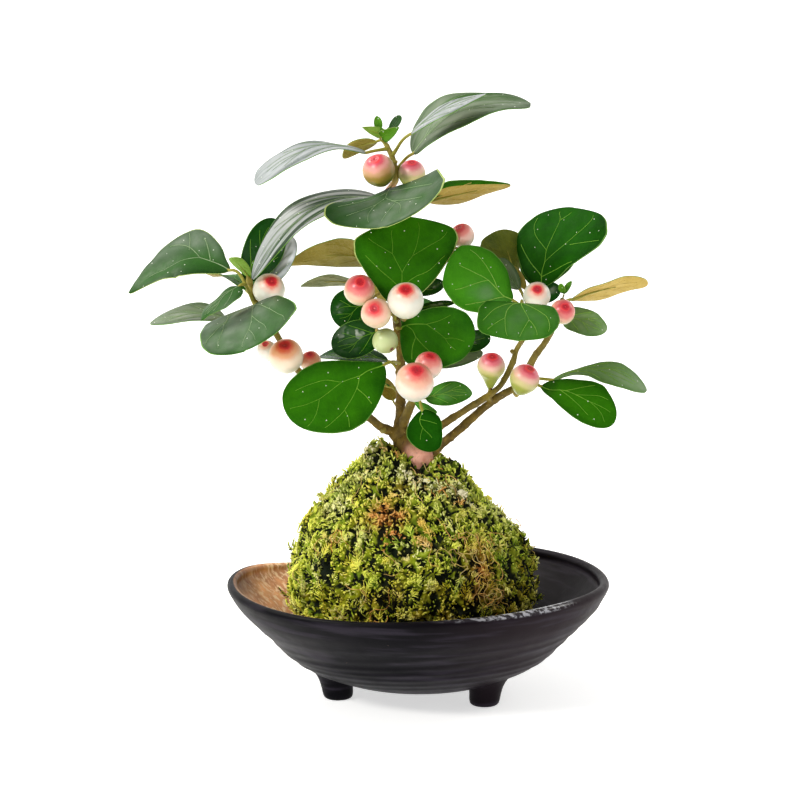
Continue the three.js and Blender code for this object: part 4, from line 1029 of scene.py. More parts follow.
def buildLeaf(name, entry, seed, stands=(), outline=None, veinPaths=veinForks):
    leaf = leafOf(entry, seed, outline, veinPaths)
    line = plain["leafVein" + "".join(kind for kind, looks in veinLooks.items() if leaf["look"] in looks)]
    makePiece(name, leafParts(leaf), looksOf(leaf["look"], leaf["under"], leaf["rim"], line), stands)


for seed, (short, entry) in enumerate(leaves.items()):
    name, paths = "leaf_" + short, veins.get(short, veinForks)
    buildLeaf(name + "_blade", entry, 100 + seed, [name], outlines.get(short), paths)
print("leaves built:", len(leaves))

# Smaller leaves between the others, and leaves at the back: as above, and only here.
moreLeaves = {
    "behind_right": ("branch_right_mid", (52.5, 6, 163), (44, 9, 175), (-7, 3, -4), 0.55, 0.5, 0.05, 0, "pale",
        {"start": 0.95}),
    "crown_bud": ("trunk", (0, 0, 225), (5, 3, 232.6), (-3, 1, 2), 0.6, 0.5, 0.05, 0.2, "grey", {"start": 0.99}),
    "right_sliver": ("branch_right_mid", (55, 5, 163), (49.5, 8, 172.5), (3.5, -1, 1.5), 0.5, 0.6, 0.05, 0, "dark",
        {"start": 0.97}),
    "right_dark": ("branch_right_mid", (58.5, 5, 159.5), (69, 9, 163.5), (-3, 1, 7.5), 0.5, 0.55, 0.05, 0, "dark",
        {"start": 0.95}),
    "mid_left_sliver": ("trunk", (0, 6, 158.5), (-9, 8, 165.5), (3, -2, 4), 0.5, 0.6, 0.05, 0, "dark"),
    "mid_right_dark": ("trunk", (11, 4, 162), (22.5, 7, 165.5), (-2, 3, 6), 0.5, 0.55, 0.05, 0, "dark"),
    "center_strip": ("trunk", (10, 4, 155), (27, 8, 157.5), (0, 3, 3), 0.5, 0.6, 0.03, 0, "dark"),
    "low_olive": ("stem_front", (10.5, -10, 120), (19.5, -14, 116.5), (1, -3, 4), 0.5, 0.55, 0.05, 0, "fresh"),
    "low_behind": ("trunk", (20, 2, 132.5), (38, 6, 137.5), (-2, 4, 6), 0.5, 0.55, 0.1, 0, "pale", {"start": 0.3}),
    "low_dark": ("trunk", (27, 4, 140), (41, 9, 143.5), (-2, 4, 8), 0.5, 0.55, 0.05, 0, "dark", {"start": 0.36}),
    "behind_trunk": ("trunk", (2, 6, 118), (-2, 14, 126), (6, 2, 2), 0.5, 0.55, 0.05, 0, "pale"),
    "back_high": ("trunk", (3, 5, 168), (20, 32, 178), (-21, 14, 3), 0.55, 0.5, 0.08, 0.1, "green"),
    "back_left": ("trunk", (0, 6, 170), (-14, 32, 176), (-19, -9, 4), 0.55, 0.5, 0.08, 0.1, "light"),
    "back_middle": ("trunk", (6, 5, 146), (24, 32, 150), (-17, 11, 12), 0.55, 0.5, 0.08, 0.1, "green"),
    "back_low": ("trunk", (1, 4, 124), (-26, 24, 124), (-11, -13, 9), 0.55, 0.5, 0.08, 0.1, "green",
        {"under": "yellow"}),
    "back_top": ("trunk", (1, 5, 190), (-15, 29, 196), (-17, -10, 3), 0.55, 0.5, 0.08, 0.1, "green"),
    "back_crown": ("trunk", (3, 4, 197), (25, 24, 200), (-12, 13, 4), 0.55, 0.5, 0.08, 0.1, "fresh"),
    "back_right": ("branch_right_mid", (60, 8, 163), (69, 38, 176), (-22, 7, 2), 0.55, 0.5, 0.08, 0.1, "green"),
    "back_right_low": ("branch_right_mid", (51, 8, 152), (40, 35, 156), (-17, -8, 8), 0.55, 0.5, 0.08, 0.1, "light"),
    "back_left_branch": ("branch_left", (-55, 1, 163), (-72, 26, 166), (-17, -11, 4), 0.55, 0.5, 0.08, 0.1, "green"),
}
for seed, (name, entry) in enumerate(moreLeaves.items()):
    small = np.linalg.norm(entry[3]) < 12
    buildLeaf("leaf_" + name, entry, 300 + seed, veinPaths=midribOnly if small else veinForks)

# Young leaves at the shoot tips: leaves as above, up to their cup, that spring from one place. Each shoot is a piece.
shoots = {
    "shoot_crown": [
        ("trunk", (-1.4, -1, 225), (-10.2, -4, 228.6), (1.5, -2, 4.4), 0.17, 0.85, 0.03, 0.2),
        ("trunk", (-2.6, -1.5, 224.4), (4.6, -3, 228.4), (-3, -2, 4.4), 0.17, 0.85, 0.03, 0.2),
        ("trunk", (-3.4, 0, 226.5), (-4.4, 0, 232.6), (-3.4, -1, -0.6), 0.5, 0.6, 0.03, 0.2)],
    "shoot_left": [
        ("branch_left", (-54.5, -5, 169), (-61.5, -13, 178), (5, -3.5, 2), 0.6, 0.45, 0.05, 0.2),
        ("branch_left", (-54.5, -5, 169), (-53, -5, 176), (-2, -1, 0.5), 0.4, 0.6, 0.05, 0.4)],
    "shoot_right": [
        ("branch_right_low", (70, 0, 162), (68.5, -3, 166.5), (-3, 0.5, 0.5), 0.55, 0.5, 0.05, 0.3),
        ("branch_right_low", (70, 0, 162), (73, 1, 167), (-2, 1, 1), 0.5, 0.6, 0.05, 0.4)],
}
for seed, (name, group) in enumerate(shoots.items()):
    parts = []
    for k, entry in enumerate(group):
        entry = (*entry, "young", {"start": 0.99, "under": "young"})
        parts += leafParts(leafOf(entry, 400 + 10 * seed + k, None, midribOnly))
    for way in ((-0.4, -0.4, 0.9), (0.5, -0.2, 0.9)):
        parts.append(budPart(group[0][1], way, 4.2, 0.75, slot=slots["top"]))
    looks = looksOf("young", "young", "pale", plain["leafVein"])
    makePiece(name + "_leaves", parts, looks, [name])
print("small and back leaves and shoots built:", len(moreLeaves), len(shoots))

# name: stem, middle, radius, direction of its eye, where its stalk springs, look, and how far its lower end is drawn
# out towards the stalk, as a share of its radius.
figs = {
    "fig_crown_left": ("trunk", (-3.5, -9, 212), 6.4, (-0.26, -0.58, 0.77), 0.87, "olive", 0.15),
    "fig_crown_right": ("trunk", (9.5, -1, 210), 5.4, (0, -0.42, 0.91), 0.87, "green", 0.2),
    "fig_left_upper": ("branch_left", (-47, -6, 164.5), 6.4, (0.2, -0.74, 0.64), 0.9, "cream", 0.1),
    "fig_mid_left": ("trunk", (-11, -19, 166), 6.1, (0.05, -0.77, 0.64), 0.53, "rosyOlive", 0.1),
    "fig_mid_brown": ("trunk", (-4.5, -24, 157.5), 5.9, (-0.15, -0.88, 0.45), 0.49, "tawny", 0.1),
    "fig_mid_right": ("trunk", (7, -24, 162.5), 7.1, (0, -0.67, 0.74), 0.47, "cream", 0.15),
    "fig_unripe": ("trunk", (-1, -16, 145.5), 5.1, (0.5, -0.6, -0.6), 0.37, "unripe", 0.1),
    "fig_low_front": ("stem_front", (10.5, -31, 131.5), 7.6, (0.12, -0.65, 0.75), None, "peach", 0.15),
    "fig_low_behind": ("stem_front", (16, -18, 136), 5.5, (0.14, -0.57, 0.81), None, "rosy", 0.2),
    "fig_left_low": ("branch_left", (-40, -17, 139.5), 6.9, (-0.07, -0.62, 0.78), None, "orange", 0.1),
    "fig_left_red": ("branch_left", (-30.5, -11, 136.5), 4.2, (-0.07, -0.58, 0.81), None, "coral", 0.1),
    "fig_left_white": ("branch_left", (-48, -8, 140.5), 4.0, (-0.1, -0.6, 0.8), None, "white", 0.1),
    "fig_right_stalk": ("branch_right_mid", (41, -8, 134), 5.6, (0.05, -0.55, 0.83), 0.3, "green", 1.0),
    "fig_right_fork": ("branch_right_low", (54, -14, 130), 5.9, (0.36, -0.46, 0.81), 0.46, "green", 0.3),
    "fig_right_upper": ("branch_right_mid", (59, -5, 162), 5.4, (0, -0.8, 0.59), 0.95, "cream", 0.1),
    "fig_right_outer": ("branch_right_low", (69, -9, 156), 5.0, (0.2, -0.81, 0.54), 0.94, "rosyOlive", 0.1),
    "fig_hidden": ("branch_right_upper", (29.5, -2, 185.5), 4.8, (-0.3, -0.55, 0.78), None, "rosy", 0.1),
}
# colours from the stalk, 0, to the eye, 1
red = [(0.893, 228, 66, 70), (0.922, 212, 36, 52), (0.955, 192, 18, 42), (0.985, 178, 16, 38), (0.994, 212, 60, 64)]
skins = {
    "cream": [(0.0, 196, 196, 140), (0.2, 212, 216, 192), (0.68, 222, 220, 206), (0.79, 238, 206, 188),
              (0.87, 236, 136, 116), *red],
    "orange": [(0.0, 206, 200, 180), (0.4, 228, 224, 208), (0.62, 238, 216, 190), (0.76, 240, 172, 128),
               (0.87, 230, 102, 72), *red],
    "coral": [(0.0, 196, 190, 140), (0.22, 226, 206, 176), (0.5, 236, 210, 184), (0.72, 240, 168, 138),
              (0.87, 226, 86, 74), *red],
    "white": [(0.0, 222, 220, 206), (0.3, 232, 232, 226), (0.7, 234, 230, 222), (0.87, 240, 190, 170), *red],
    "peach": [(0.0, 212, 214, 200), (0.4, 222, 220, 208), (0.58, 234, 212, 194), (0.72, 240, 178, 152),
              (0.86, 232, 112, 104), *red],
    "rosy": [(0.0, 226, 222, 206), (0.42, 232, 216, 204), (0.6, 236, 188, 172), (0.76, 230, 132, 124),
             (0.87, 218, 78, 86), *red],
    "olive": [(0.0, 112, 130, 34), (0.38, 140, 136, 44), (0.52, 166, 138, 58), (0.64, 202, 152, 102),
              (0.75, 230, 156, 146), (0.86, 216, 76, 96), *red],
    "rosyOlive": [(0.0, 196, 192, 130), (0.42, 218, 210, 174), (0.6, 228, 182, 156), (0.74, 220, 116, 112),
                  (0.86, 208, 66, 78), *red],
    "green": [(0.0, 124, 142, 44), (0.42, 158, 166, 78), (0.55, 192, 182, 118), (0.67, 224, 178, 160),
              (0.79, 220, 112, 126), (0.87, 206, 64, 88), *red],
    "tawny": [(0.0, 134, 88, 40), (0.3, 176, 144, 92), (0.54, 220, 200, 168), (0.72, 236, 186, 162),
              (0.86, 230, 108, 100), *red],
    "unripe": [(0.0, 138, 150, 84), (0.3, 168, 182, 116), (0.6, 190, 204, 148), (0.93, 180, 190, 130),
               (0.965, 120, 76, 40), (0.985, 80, 44, 26)],
}
figShape = {
    "rows": 60, "around": 48, "dimple": 0.05, "ring": 0.018, "pit": 0.02, "eyeReach": 0.3, "scales": (0.3, 2.4, 4.5),
    "seat": 0.94, "neckSeat": 0.9, "stalk": 0.85, "stalkSteps": 16, "flare": 0.6,
}


# Skin: the colours run from stalk to eye, a little ragged, with faint blotches and a few pale specks; waxy, and light
# enters it a little.
def buildFigSkin(name, stops):
    skin, shader, place = newMaterial("figSkin_" + name, **{
        "Subsurface Weight": 0.12, "Subsurface Radius": (1, 0.5, 0.35), "Subsurface Scale": 1.5 * mm,
        "Coat Weight": 0.25, "Coat Roughness": 0.3})
    along = coordinates(place, "UV")[1]
    ragged = times(minus(noise(place, 320.0, 3.0), 0.5), 0.09)
    fine = times(minus(noise(place, 1300.0, 2.0), 0.5), 0.03)
    eye = between(along, 0.9, 0.94)
    pores = noise(place, 1500.0, 2.0)
    cloud = placeGroup(mottle, Vector=place, Size=3.5, Contrast=1.6)[1]
    flecks = placeGroup(specks, Vector=place, Spacing=2.2, Radius=0.13, Share=0.22)[0]
    body = rampOf(plus(along, plus(ragged, fine)), [(p, rgb(*c)) for p, *c in stops])
    body = blend(times(eye, between(pores, 0.5, 0.6, 0.0, 0.5)), body, rgb(140, 8, 30))
    body = blend(times(cloud, 0.16), body, rgb(250, 236, 216), "SOFT_LIGHT")
    body = blend(times(flecks, 0.45), body, rgb(248, 240, 214))
    height = minus(noise(place, 1500.0, 3.0), times(times(pores, eye), 3.0))
    paint(shader, body, uneven(place, 500.0, 0.3, 0.42), height, 0.05, 0.6)
    return skin


def aside(axis):  # two directions at right angles to the axis and to each other
    across = unit(np.cross((1, 0.02, 0), axis))
    return across, np.cross(axis, across)


def neckWay(axis):  # the neck bends down from the fig's axis
    return unit(np.array([0, 0, -1.0]) - 0.5 * axis)


# A fig: the ring at the polar angle p has radius r sin p and stands r cos p along the axis. Its lower end is drawn out
# downwards by neck · r cos⁴p, and the eye is a dimple with a small ring round a pit.
def figPart(middle, radius, axis, neck):
    p = np.linspace(np.pi - 0.02, 0.004, figShape["rows"])
    a = np.linspace(0, 2 * np.pi, figShape["around"], endpoint=False)
    low = np.clip(-np.cos(p), 0, 1)
    out = radius * np.sin(p) * (1 - 0.35 * min(1, neck) * low**2)
    near = p / figShape["eyeReach"]
    high = radius * np.cos(p) - figShape["dimple"] * radius * np.exp(-((near / 0.75) ** 4))
    high = high + figShape["ring"] * radius * np.exp(-(((near - 0.36) / 0.13) ** 2))
    high = high - figShape["pit"] * radius * np.exp(-((near / 0.22) ** 2))
    lobes = 1 + 0.012 * np.sin(3 * a) + 0.008 * np.sin(5 * a + 1)
    points = middle + axis * high[:, None, None] + circle(*aside(axis), a) * (out[:, None] * lobes)[..., None]
    return surface(points + neckWay(axis) * (neck * radius * low**4)[:, None, None])


figSkins = {name: buildFigSkin(name, stops) for name, stops in skins.items()}


def buildFig(name, entry):
    stem, middle, radius, eyeWay, start, look, neck = entry
    middle, axis = np.array(middle, float), unit(np.array(eyeWay, float))
    end = middle - axis * radius * figShape["seat"] + neckWay(axis) * radius * neck * figShape["neckSeat"]
    steps, wide = figShape["stalkSteps"], figShape["flare"]
    path = stalkPath(stem, start, end, unit(axis - neckWay(axis) * neck), steps)
    flare = 1 + wide * np.exp(-np.linspace(0, 6, steps)) + wide * np.exp(-np.linspace(5, 0, steps))
    parts = [figPart(middle, radius, axis, neck), tube(path, stalk["radius"] * figShape["stalk"] * flare, slot=1)]
    across, up = aside(axis)
    for turn in figShape["scales"]:  # the three small scales under it
        way = across * np.cos(turn) + up * np.sin(turn)
        parts.append(budPart(end + axis * radius * 0.02, way + axis * 0.75, radius * 0.34, radius * 0.11, slot=2))
    makePiece(name + "_fruit", parts, [figSkins[look], plain["figStalk"], plain["figCalyx"]], [name])


for name, entry in figs.items():
    buildFig(name, entry)
print("figs built:", len(figs))

# The ball leans to the left at its top and has soft swellings, as its solid has. Places are x, y, z, then a reach, then
# a height or an amount.
moss = {
    "x": 9.6, "lean": -4, "leanFrom": (55, 90), "swell": 1.2, "radius": 50.5, "bottom": 10.3, "height": 92.7,
    "outside": [[26, 0, 10.3], [43, 0, 22], [50.5, 0, 40], [47, 0, 60], [37, 0, 77], [20, 0, 94], [9, 0, 101],
                [0, 0, 103]],
    "bed": 2.4, "grid": (190, 330),  # how far the bed that the sprigs grow on lies inside the ball, and its points
    "lumps": [(-26, -3, 83, 2.6, 1.5), (-22, -3, 89, 7, -6.5), (-32, -3, 78, 5, -2.5), (-37, -3, 68, 7, 2),
              (-8, -3, 100, 4, 6), (-4, -2, 103, 4.5, 10.5), (23, -3, 93, 6, 3.4), (13.5, -14, 98, 6.5, -5),
              (1, -47, 47, 3.5, -4), (1.6, -46, 40, 3.5, -4), (0.4, -45, 53, 3, -3), (33, -25, 62, 6, 1.5),
              (-24, -33, 62, 7, 1.5)],
    "bulb": (13.5, -13, 98.5, 7.3),  # no sprigs within the last number of here, where the root shows
    "wood": ("rootstock", "trunk", "branch_right_low", "branch_right_mid", "branch_left", "stem_front"),
    # how far sprigs stay from the wood, the height that fronds stay below, and how many sprigs make a piece
    "clear": 0.15, "frondsBelow": 95, "chunk": 4800,
    "fronds": 1150, "frondLength": (4.5, 8.0), "tufts": 16000, "tuftLength": (0.8, 1.9), "width": (0.22, 0.38),
    "branches": (0.12, 0.86, 6), "cells": 420, "strands": 80, "strandLength": (7, 18), "strandRadius": 0.16,
    "strandLift": (-0.4, 0.45), "strandSteps": 22, "profileLength": 105, "strandCircle": 40,
    "hanging": 0.4,  # this share of the strands hangs together in the brown patch to the right
    "branchLight": 0.3, "tuftLight": 0.1,  # how much lighter than the fronds branches and tufts are
    "dry": [(-4, -34, 80, 6, 1.6), (3, -35, 79, 5, 1.2), (36, -36, 66, 4.5, 1.1), (37, -36, 57, 5, 1.1),
            (34, -39, 49, 5, 0.9), (27, -27, 84, 4, 0.5), (39, -26, 74, 4, 0.6), (-23, -30, 69, 4, 0.5),
            (5, -24, 88, 5, 0.5), (44, -24, 45, 5, 0.6), (16, -44, 40, 5, 0.5), (1, -48, 48, 4, 0.7),
            (-9, -14, 95, 2, 0.9), (-12, 34, 70, 9, 0.8), (24, 40, 52, 8, 0.8), (44, 14, 58, 6, 0.6),
            (-34, 14, 55, 7, 0.5)],
    "shade": [(0.8, -48, 54, 3.2, 0.7), (1, -49, 47, 3.6, 0.9), (2, -49, 39, 4.5, 0.9), (22, -45, 57, 2.8, 0.65),
              (-8, -47, 50, 2.6, 0.5), (28, -42, 60, 2.8, 0.6), (33, -40, 42, 3.6, 0.6), (18, -46, 46, 3, 0.6),
              (-22, -40, 52, 3, 0.5), (12, -47, 34, 4, 0.6), (3.2, -38, 71.5, 2.4, 0.6), (4, -40, 67, 2.2, 0.5),
              (21, -37, 70, 2.4, 0.6), (-26, -33, 59, 3, 0.5), (-3, -48, 57, 2.4, 0.7), (-2.5, -49, 50, 2.6, 0.8),
              (35, -37, 52, 2.8, 0.6), (-14, -44, 44, 3, 0.5), (-34, -26, 50, 3.4, 0.45), (-16, -38, 68, 2.4, 0.45),
              (-4, -5, 109, 8, -0.3)],
    "pale": [(30, -18, 86, 9, 0.8), (18, -22, 90, 7, 0.7), (40, -8, 72, 8, 0.6), (-5, -6, 100, 7, 0.7),
             (-14, -14, 90, 7, 0.7), (-22, -18, 80, 7, 0.5), (12, 20, 92, 9, 0.6), (56, -16, 34, 7, 0.6),
             (6, -16, 94, 5, 0.6)],
}


def nearTo(points, spots):  # for each point the amounts of the spots, fading with the square of its distance
    apart = lambda *middle: ((points - np.array(middle)) ** 2).sum(-1)
    return sum(much * np.exp(-(apart(x, y, z) / reach**2)) for x, y, z, reach, much in spots)


def cleftAt(point):  # 1 in the narrow winding clefts between clumps, which low on the ball are drawn out downwards
    tall = point * np.stack([np.ones(len(point))] * 2 + [np.where(point[:, 2] < 75, 0.55, 0.8)], -1)
    return np.exp(-((waves(tall, 9, 2) / 0.22) ** 2))


# The ball's surface at an angle round it and a share of its profile, and the outward direction there. It has the
# solid's swellings and lean, and then lumps and clumps of moss along the outward direction.
def mossAt(angle, share, inset=0.0):
    def body(a, s):
        p = pathThrough(moss["outside"], s)
        radius = p[:, 0] * (1 - inset / moss["radius"])
        z = moss["bottom"] + inset + (p[:, 2] - moss["bottom"]) * (1 - 2 * inset / moss["height"])
        swell = np.sin(3 * a + 0.06 * z) * np.sin(0.09 * z + 1.5 * np.sin(2 * a)) * smooth(z, 20, 40)
        radius = radius * (1 + moss["swell"] * swell / moss["radius"])
        x = radius * np.cos(a) + moss["x"] + moss["lean"] * smooth(z, *moss["leanFrom"])
        return np.stack([x, radius * np.sin(a), z], -1)

    step = 0.004
    share = np.clip(share, 0, 0.995)
    point = body(angle, share)
    aroundIt = body(angle + step, share) - body(angle - step, share)
    rise = body(angle, np.minimum(share + step, 1)) - body(angle, np.maximum(share - step, 0))
    out = unit(np.cross(aroundIt, rise))
    clumps = 0.8 * waves(point, 15, 1) + 0.6 * waves(point, 4.2, 3) - 1.8 * cleftAt(point)
    height = nearTo(point, moss["lumps"]) + clumps * smooth(point[:, 2], 12, 30)
    return point + out * height[:, None], out


# Many sprigs at once. Each follows start + length (ahead t + curl t²) and has knobbly rings whose radius swells and
# tapers along it, so that its little leaves stand out. The value "tip" grows with t and takes in "high", the painted
# light and shade of its place.
def sprigParts(start, ahead, curl, length, width, values, dice, rings=4, around=4):
    count = len(start)
    t = np.linspace(0, 1, rings)[:, None]
    odd = (np.arange(rings) % 2)[:, None]
    spine = start[:, None] + length[:, None, None] * (ahead[:, None] * t + curl[:, None] * t**2)
    along = unit(ahead[:, None] + 2 * curl[:, None] * t)
    right = unit(np.cross(along, unit(dice.normal(size=(count, 1, 3)))))
    a = 2 * np.pi * (np.arange(around)[None] + 0.5 * odd) / around
    swell = np.interp(t, [0, 0.3, 0.65, 1], [0.6, 1, 1, 0.45])
    knobs = 1 + dice.uniform(-0.4, 0.4, (count, rings, around)) + 0.22 * odd
    radius = width[:, None, None] * swell * knobs
    points = (spine[:, :, None] + circle(right, np.cross(along, right), a) * radius[..., None]).reshape(count, -1, 3)
    points = np.concatenate([points, spine[:, :1], spine[:, -1:] + along[:, -1:] * width[:, None, None] * 0.3], 1)
    per = rings * around + 2
    r, c = np.meshgrid(np.arange(rings - 1), np.arange(around), indexing="ij")
    n = (c + 1) % around
    quads = np.stack([r * around + c, r * around + n, (r + 1) * around + n, (r + 1) * around + c], -1).reshape(-1, 4)
    last = (rings - 1) * around
    e, f, none = np.arange(around), (np.arange(around) + 1) % around, np.full(around, -1)
    ends = [np.stack([f, e, none + per - 1, none], -1), np.stack([last + e, last + f, none + per, none], -1)]
    face = np.vstack([quads, *ends])
    grow = (face >= 0)[None] * (np.arange(count) * per)[:, None, None]
    corner = np.stack([face % around / around, np.minimum(face // around, rings - 1) / (rings - 1)], -1)
    held = {name: np.repeat(v, per) for name, v in values.items()}
    tip = np.tile(np.append(np.repeat(t[:, 0], around), [0, 1]), count)
    # painted light and shade: "tip" grows along the sprig and with "high"
    held["tip"] = np.clip(0.42 + 0.56 * tip + held["high"], 0, 1)
    return {
        "points": points.reshape(-1, 3), "faces": (face[None] + grow).reshape(-1, 4),
        "uv": np.tile(corner, (count, 1, 1)), "slots": np.zeros(count * len(face), int), "values": held,
    }


# Moss: dark where the sprigs come out of the bed, partly its own colour and partly painted shade among the sprigs, and
# bright yellow-green along them, with a change of hue from tuft to tuft, golden low on the ball and pale at its top,
# with brown dead patches and pale ones. A "lift" below 1 darkens it towards black, painted shade in the bed between
# the sprigs.
def buildMossLook(name, low, high, lift):
    look, shader, place = newMaterial(name, 0.15)
    value = plus(attribute("tip"), times(minus(noise(place, 700.0, 3.0), 0.5), 0.45))
    middle = low + 0.4 * (high - low)
    ramp = lambda *colours: rampOf(value, [(at, rgb(*c)) for at, c in zip((low, middle, high), colours)])
    body = layered(
        ramp((10, 18, 4), (170, 188, 28), (242, 246, 106)),
        (attribute("hue"), ramp((6, 18, 6), (110, 152, 26), (216, 232, 90))),
        (times(attribute("gold"), 0.85), ramp((16, 14, 4), (176, 148, 16), (248, 220, 80))),
        (attribute("pale"), ramp((30, 34, 18), (188, 178, 118), (252, 246, 214))),
        (attribute("dry"), ramp((36, 16, 6), (182, 112, 42), (242, 182, 104))))
    # painted shade: the bed darkened towards black between the sprigs
    if lift < 1:
        body = blend(1 - lift, body, (0.01, 0.016, 0.004, 1))
    paint(shader, body, uneven(place, 400.0, 0.7, 0.9), noise(place, 2400.0, 2.0), 0.16, 0.9)
    return look


# A dry curly stem that lies over the moss: a walk over the ball whose heading turns by a slow wave, as a thin tube.
def strandPart(angle, share, heading, length, dice, lift):
    steps = moss["strandSteps"]

    def wave(*ends):
        return np.sin(np.linspace(0, dice.uniform(*ends), steps) + dice.uniform(0, 6.28))

    way = heading + np.cumsum(0.34 * wave(3, 9) + 0.12 * dice.normal(size=steps))
    rise = np.cumsum(np.cos(way)) * length / steps / moss["profileLength"]
    turn = np.cumsum(np.sin(way)) * length / steps / moss["strandCircle"]
    point, out = mossAt(angle + turn, np.clip(share + rise, 0.03, 0.97))
    path = point + out * (lift + 0.7 * wave(3, 7))[:, None]
    held = {"tip": 0.6, "dry": dice.uniform(0.3, 1), "pale": dice.uniform(0, 0.7), "hue": 0, "gold": dice.uniform(0, 1)}
    return tube(path, np.linspace(1.1, 0.6, steps) * moss["strandRadius"], 5, out[-1] + 0.01, values=held)


def goldAt(points):  # more gold low on the ball and to the right, in soft patches
    patches = 0.8 + 0.35 * waves(points, 12, 12)
    return smooth(points[:, 2], 72, 34) * smooth(points[:, 0], -36, 6) * patches + 0.22 * waves(points, 8, 13)


# Painted light and shade: how bright the moss is at a place, lighter where clumps stand out and darker between them,
# and dark in the clefts.
def lightAt(points, base, clumps, cleft):
    return base + clumps * waves(points, 4.2, 3) - cleft * cleftAt(points)


def buildBed():
    rows, around = moss["grid"]
    angle, share = np.meshgrid(np.linspace(0, 2 * np.pi, around, endpoint=False), np.linspace(0, 0.995, rows))
    bed, out = mossAt(angle.ravel(), share.ravel(), moss["bed"])
    grain = 0.55 * waves(bed, 2.6, 5, 40) + 0.4 * waves(bed, 1.5, 6, 40)
    points = (bed + out * grain[:, None]).reshape(rows, around, 3)
    # painted light and shade: lighter on the raised grain and clumps, dark in the clefts and in the shaded spots
    held = {
        "tip": lightAt(bed, 0.38 + 0.26 * grain, 0.24, 0.7) - 1.4 * nearTo(bed, moss["shade"]),
        "dry": nearTo(bed, moss["dry"]), "pale": 0.6 * nearTo(bed, moss["pale"]),
        "hue": 0.4 + 0.3 * waves(bed, 9, 7), "gold": goldAt(bed)}
    held = {name: np.clip(v, 0, 1).reshape(rows, around) for name, v in held.items()}
    mossBed = buildMossLook("mossBed", 0.15, 1.0, 0.7)
    makePiece("moss_bed", [surface(points, values=held)], [mossBed], ["moss_cover"])


# Places on the ball, evenly by its area, and the outward directions there.
def scatter(count, inset, dice):
    samples = np.linspace(0, 1, 400)
    profile = pathThrough(moss["outside"], samples)
    strip = np.append(0, np.cumsum(np.linalg.norm(np.diff(profile, axis=0), axis=1) * (profile[1:, 0] + 0.5)))
    share = np.maximum(np.interp(dice.uniform(0, 1, count) * strip[-1], strip, samples), 0.03)
    return mossAt(dice.uniform(0, 2 * np.pi, count), share, inset)


# The ball is parted into tufts. What grows in a tuft shares the way it lies, its lift, its tones and its thrift.
def makeTufts(dice):
    count = moss["cells"]
    middles, _ = scatter(count, 0, dice)
    lie = dice.normal(size=(count, 3)) * np.array([0.9, 0.9, 1.6])
    lie[:, 2] = np.where(dice.uniform(size=count) < 0.8, np.abs(lie[:, 2]) + 0.3, lie[:, 2])  # mostly upwards
    return {
        "middles": middles, "lie": unit(lie), "lift": dice.uniform(0.0, 0.16, count),
        "tone": dice.uniform(0, 1, (count, 3)), "thrift": dice.uniform(0.75, 1.2, count)}


# Everything that grows: place, direction, curl, length, width, the tuft that it belongs to and how light it is.
def growSprigs(tufts, dice):
    def nearest(points):
        apart = np.linalg.norm(points[:, None] - tufts["middles"][None], axis=-1)
        return apart.argmin(1), apart.min(1)

    def thrown(low, high):  # a number for each sprig, as a column
        return dice.uniform(low, high, (len(place), 1))

    def askew(much):
        return much * dice.normal(size=place.shape)

    place, out = scatter(moss["fronds"], moss["bed"] - 1.1, dice)
    cell, _ = nearest(place)
    lie = tufts["lie"][cell]
    flat = unit(lie + askew(0.35) - out * ((lie * out).sum(-1, keepdims=True)))
    ahead = unit(flat + out * tufts["lift"][cell][:, None] * thrown(0.5, 1.3))
    curl = -0.36 * out * thrown(0.4, 1.4) + askew(0.1)
    length = dice.uniform(*moss["frondLength"], len(place)) * tufts["thrift"][cell]
    length = length * np.interp(place[:, 2], [60, 80, 96], [1.0, 0.7, 0.3])
    width = dice.uniform(*moss["width"], len(place))
    rows = [(place, ahead, curl, length, width, cell, np.zeros(len(place)))]
    side = unit(np.cross(ahead, out))
    for at in np.linspace(*moss["branches"]):  # the branches on both sides, as in a comb
        start = place + length[:, None] * (ahead * at + curl * at**2)
        for way in (-1, 1):
            branch = unit(0.75 * ahead + way * side * thrown(0.8, 1.1) + 0.12 * out + askew(0.1))
            short = length * (0.4 - 0.28 * at) * dice.uniform(0.8, 1.2, len(place))
            bend = 0.25 * ahead - 0.12 * out + askew(0.1)
            rows.append((start, branch, bend, short, width * 0.8, cell, np.full(len(place), moss["branchLight"])))
    place, out = scatter(moss["tufts"], moss["bed"] - 0.3, dice)
    cell, apart = nearest(place)
    lean = 0.06 * (place - tufts["middles"][cell])
    ahead = unit(out * thrown(0.2, 0.65) + lean + 0.8 * tufts["lie"][cell] + askew(0.6))
    curl = askew(0.25)
    length = dice.uniform(*moss["tuftLength"], len(place)) * np.clip(1.2 - 0.05 * apart, 0.6, 1.3)
    width = dice.uniform(*moss["width"], len(place))
    rows.append((place, ahead, curl, length, width, cell, np.full(len(place), moss["tuftLight"])))
    return [np.concatenate(held) for held in zip(*rows)]


def clearOfWood(start, end, width):  # how far each sprig stays from the stems
    clear = np.full(len(start), 9.0)
    for name in moss["wood"]:
        shares = np.linspace(0, 1 if name == "rootstock" else 0.4, 40)
        path, thick = pathThrough(stems[name], shares), thicknessAt(stems[name], shares)
        for place in (start, end, (start + end) / 2):
            apart = np.linalg.norm(place[:, None] - path[None], axis=-1) - thick - width[:, None]
            clear = np.minimum(clear, apart.min(1))
    return clear


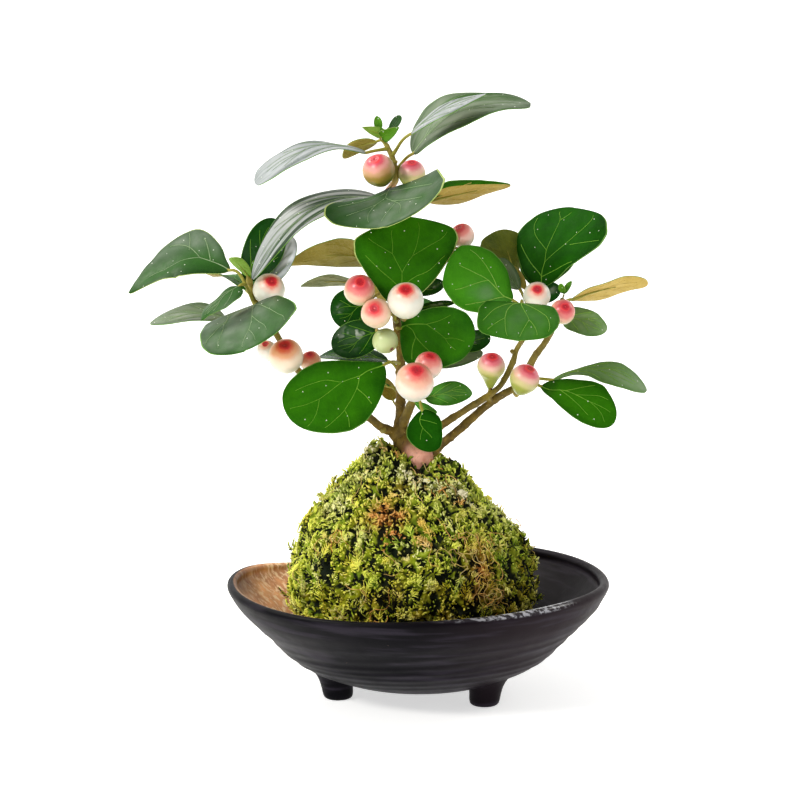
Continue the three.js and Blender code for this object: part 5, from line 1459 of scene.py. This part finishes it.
def buildMoss():
    dice = np.random.default_rng(41)
    buildBed()
    tufts = makeTufts(dice)
    grown = growSprigs(tufts, dice)
    start, ahead, curl, length, width, cell, lighter = grown
    end = start + length[:, None] * (ahead + curl)
    *middle, reach = moss["bulb"]
    kept = clearOfWood(start, end, width) > moss["clear"]
    kept &= (lighter == moss["tuftLight"]) | (start[:, 2] < moss["frondsBelow"])
    kept &= np.linalg.norm(end - np.array(middle), axis=1) > reach * dice.uniform(0.8, 1.05, len(end))
    start, ahead, curl, length, width, cell, lighter = (v[kept] for v in grown)

    # sprigs in a hollow between two clumps are dark, as those deep in it get no light
    high = lightAt(start, 0.12, 0.3, 0.85) + 0.14 * dice.normal(size=len(start))
    # painted shade: darker low on the right, which is turned from the light, and in the shaded spots
    high = high - 0.42 * smooth(start[:, 0], 4, 36) * smooth(start[:, 2], 80, 55) - 1.4 * nearTo(start, moss["shade"])
    tone = tufts["tone"][cell].T
    values = {
        "dry": nearTo(start, moss["dry"]) * (0.4 + 1.1 * tone[1]) + 0.9 * smooth(tone[1], 0.93, 1.0),
        "pale": nearTo(start, moss["pale"]) * (0.3 + tone[2]) + 0.25 * waves(start, 11, 9),
        "hue": 0.9 * smooth(tone[0], 0.3, 1) + 0.25 * waves(start, 14, 8) - 0.2 * lighter,
        "gold": goldAt(start) + 0.5 * smooth(tone[1], 0.6, 0.9) - 0.2,
    }
    values = {name: np.clip(v + 0.06 * dice.normal(size=len(v)), 0, 1) for name, v in values.items()} | {"high": high}
    mossSprig = buildMossLook("mossSprig", 0.08, 0.85, 1.0)
    for k, first in enumerate(range(0, len(start), moss["chunk"])):
        some = slice(first, first + moss["chunk"])
        held = [v[some] for v in (start, ahead, curl, length, width)]
        part = sprigParts(*held, {name: v[some] for name, v in values.items()}, dice)
        makePiece(f"moss_sprigs_{k}", [part], [mossSprig], ["moss_cover"])
    parts = []
    for _ in range(moss["strands"]):
        if dice.uniform() < moss["hanging"]:
            where, share, heading = dice.normal(-0.93, 0.1), dice.uniform(0.34, 0.56), np.pi + 0.5 * dice.normal()
        else:
            where = dice.uniform(-2.4, -0.7) if dice.uniform() < 0.5 else dice.uniform(0, 2 * np.pi)
            share, heading = dice.uniform(0.12, 0.8), dice.choice([0, np.pi]) + 0.5 * dice.normal()
        length, lift = dice.uniform(*moss["strandLength"]), dice.uniform(*moss["strandLift"])
        parts.append(strandPart(where, share, heading, length, dice, lift))
    makePiece("moss_strands", parts, [mossSprig], ["moss_cover"])
    print("moss built:", len(start), "sprigs,", len(parts), "strands")


buildMoss()

# The soil core is hidden inside the moss: dark brown crumbs.
soil, shader, place = newMaterial("soil", 0.2)
crumbs = mottled(place, 3.0, 2.4, (30, 20, 12), (84, 62, 42))
paint(shader, crumbs, uneven(place, 500.0, 0.85, 0.97), noise(place, 900.0, 3.0), 0.3, 0.8)
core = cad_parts["soil_core"]
core.data.materials.clear()
core.data.materials.append(soil)

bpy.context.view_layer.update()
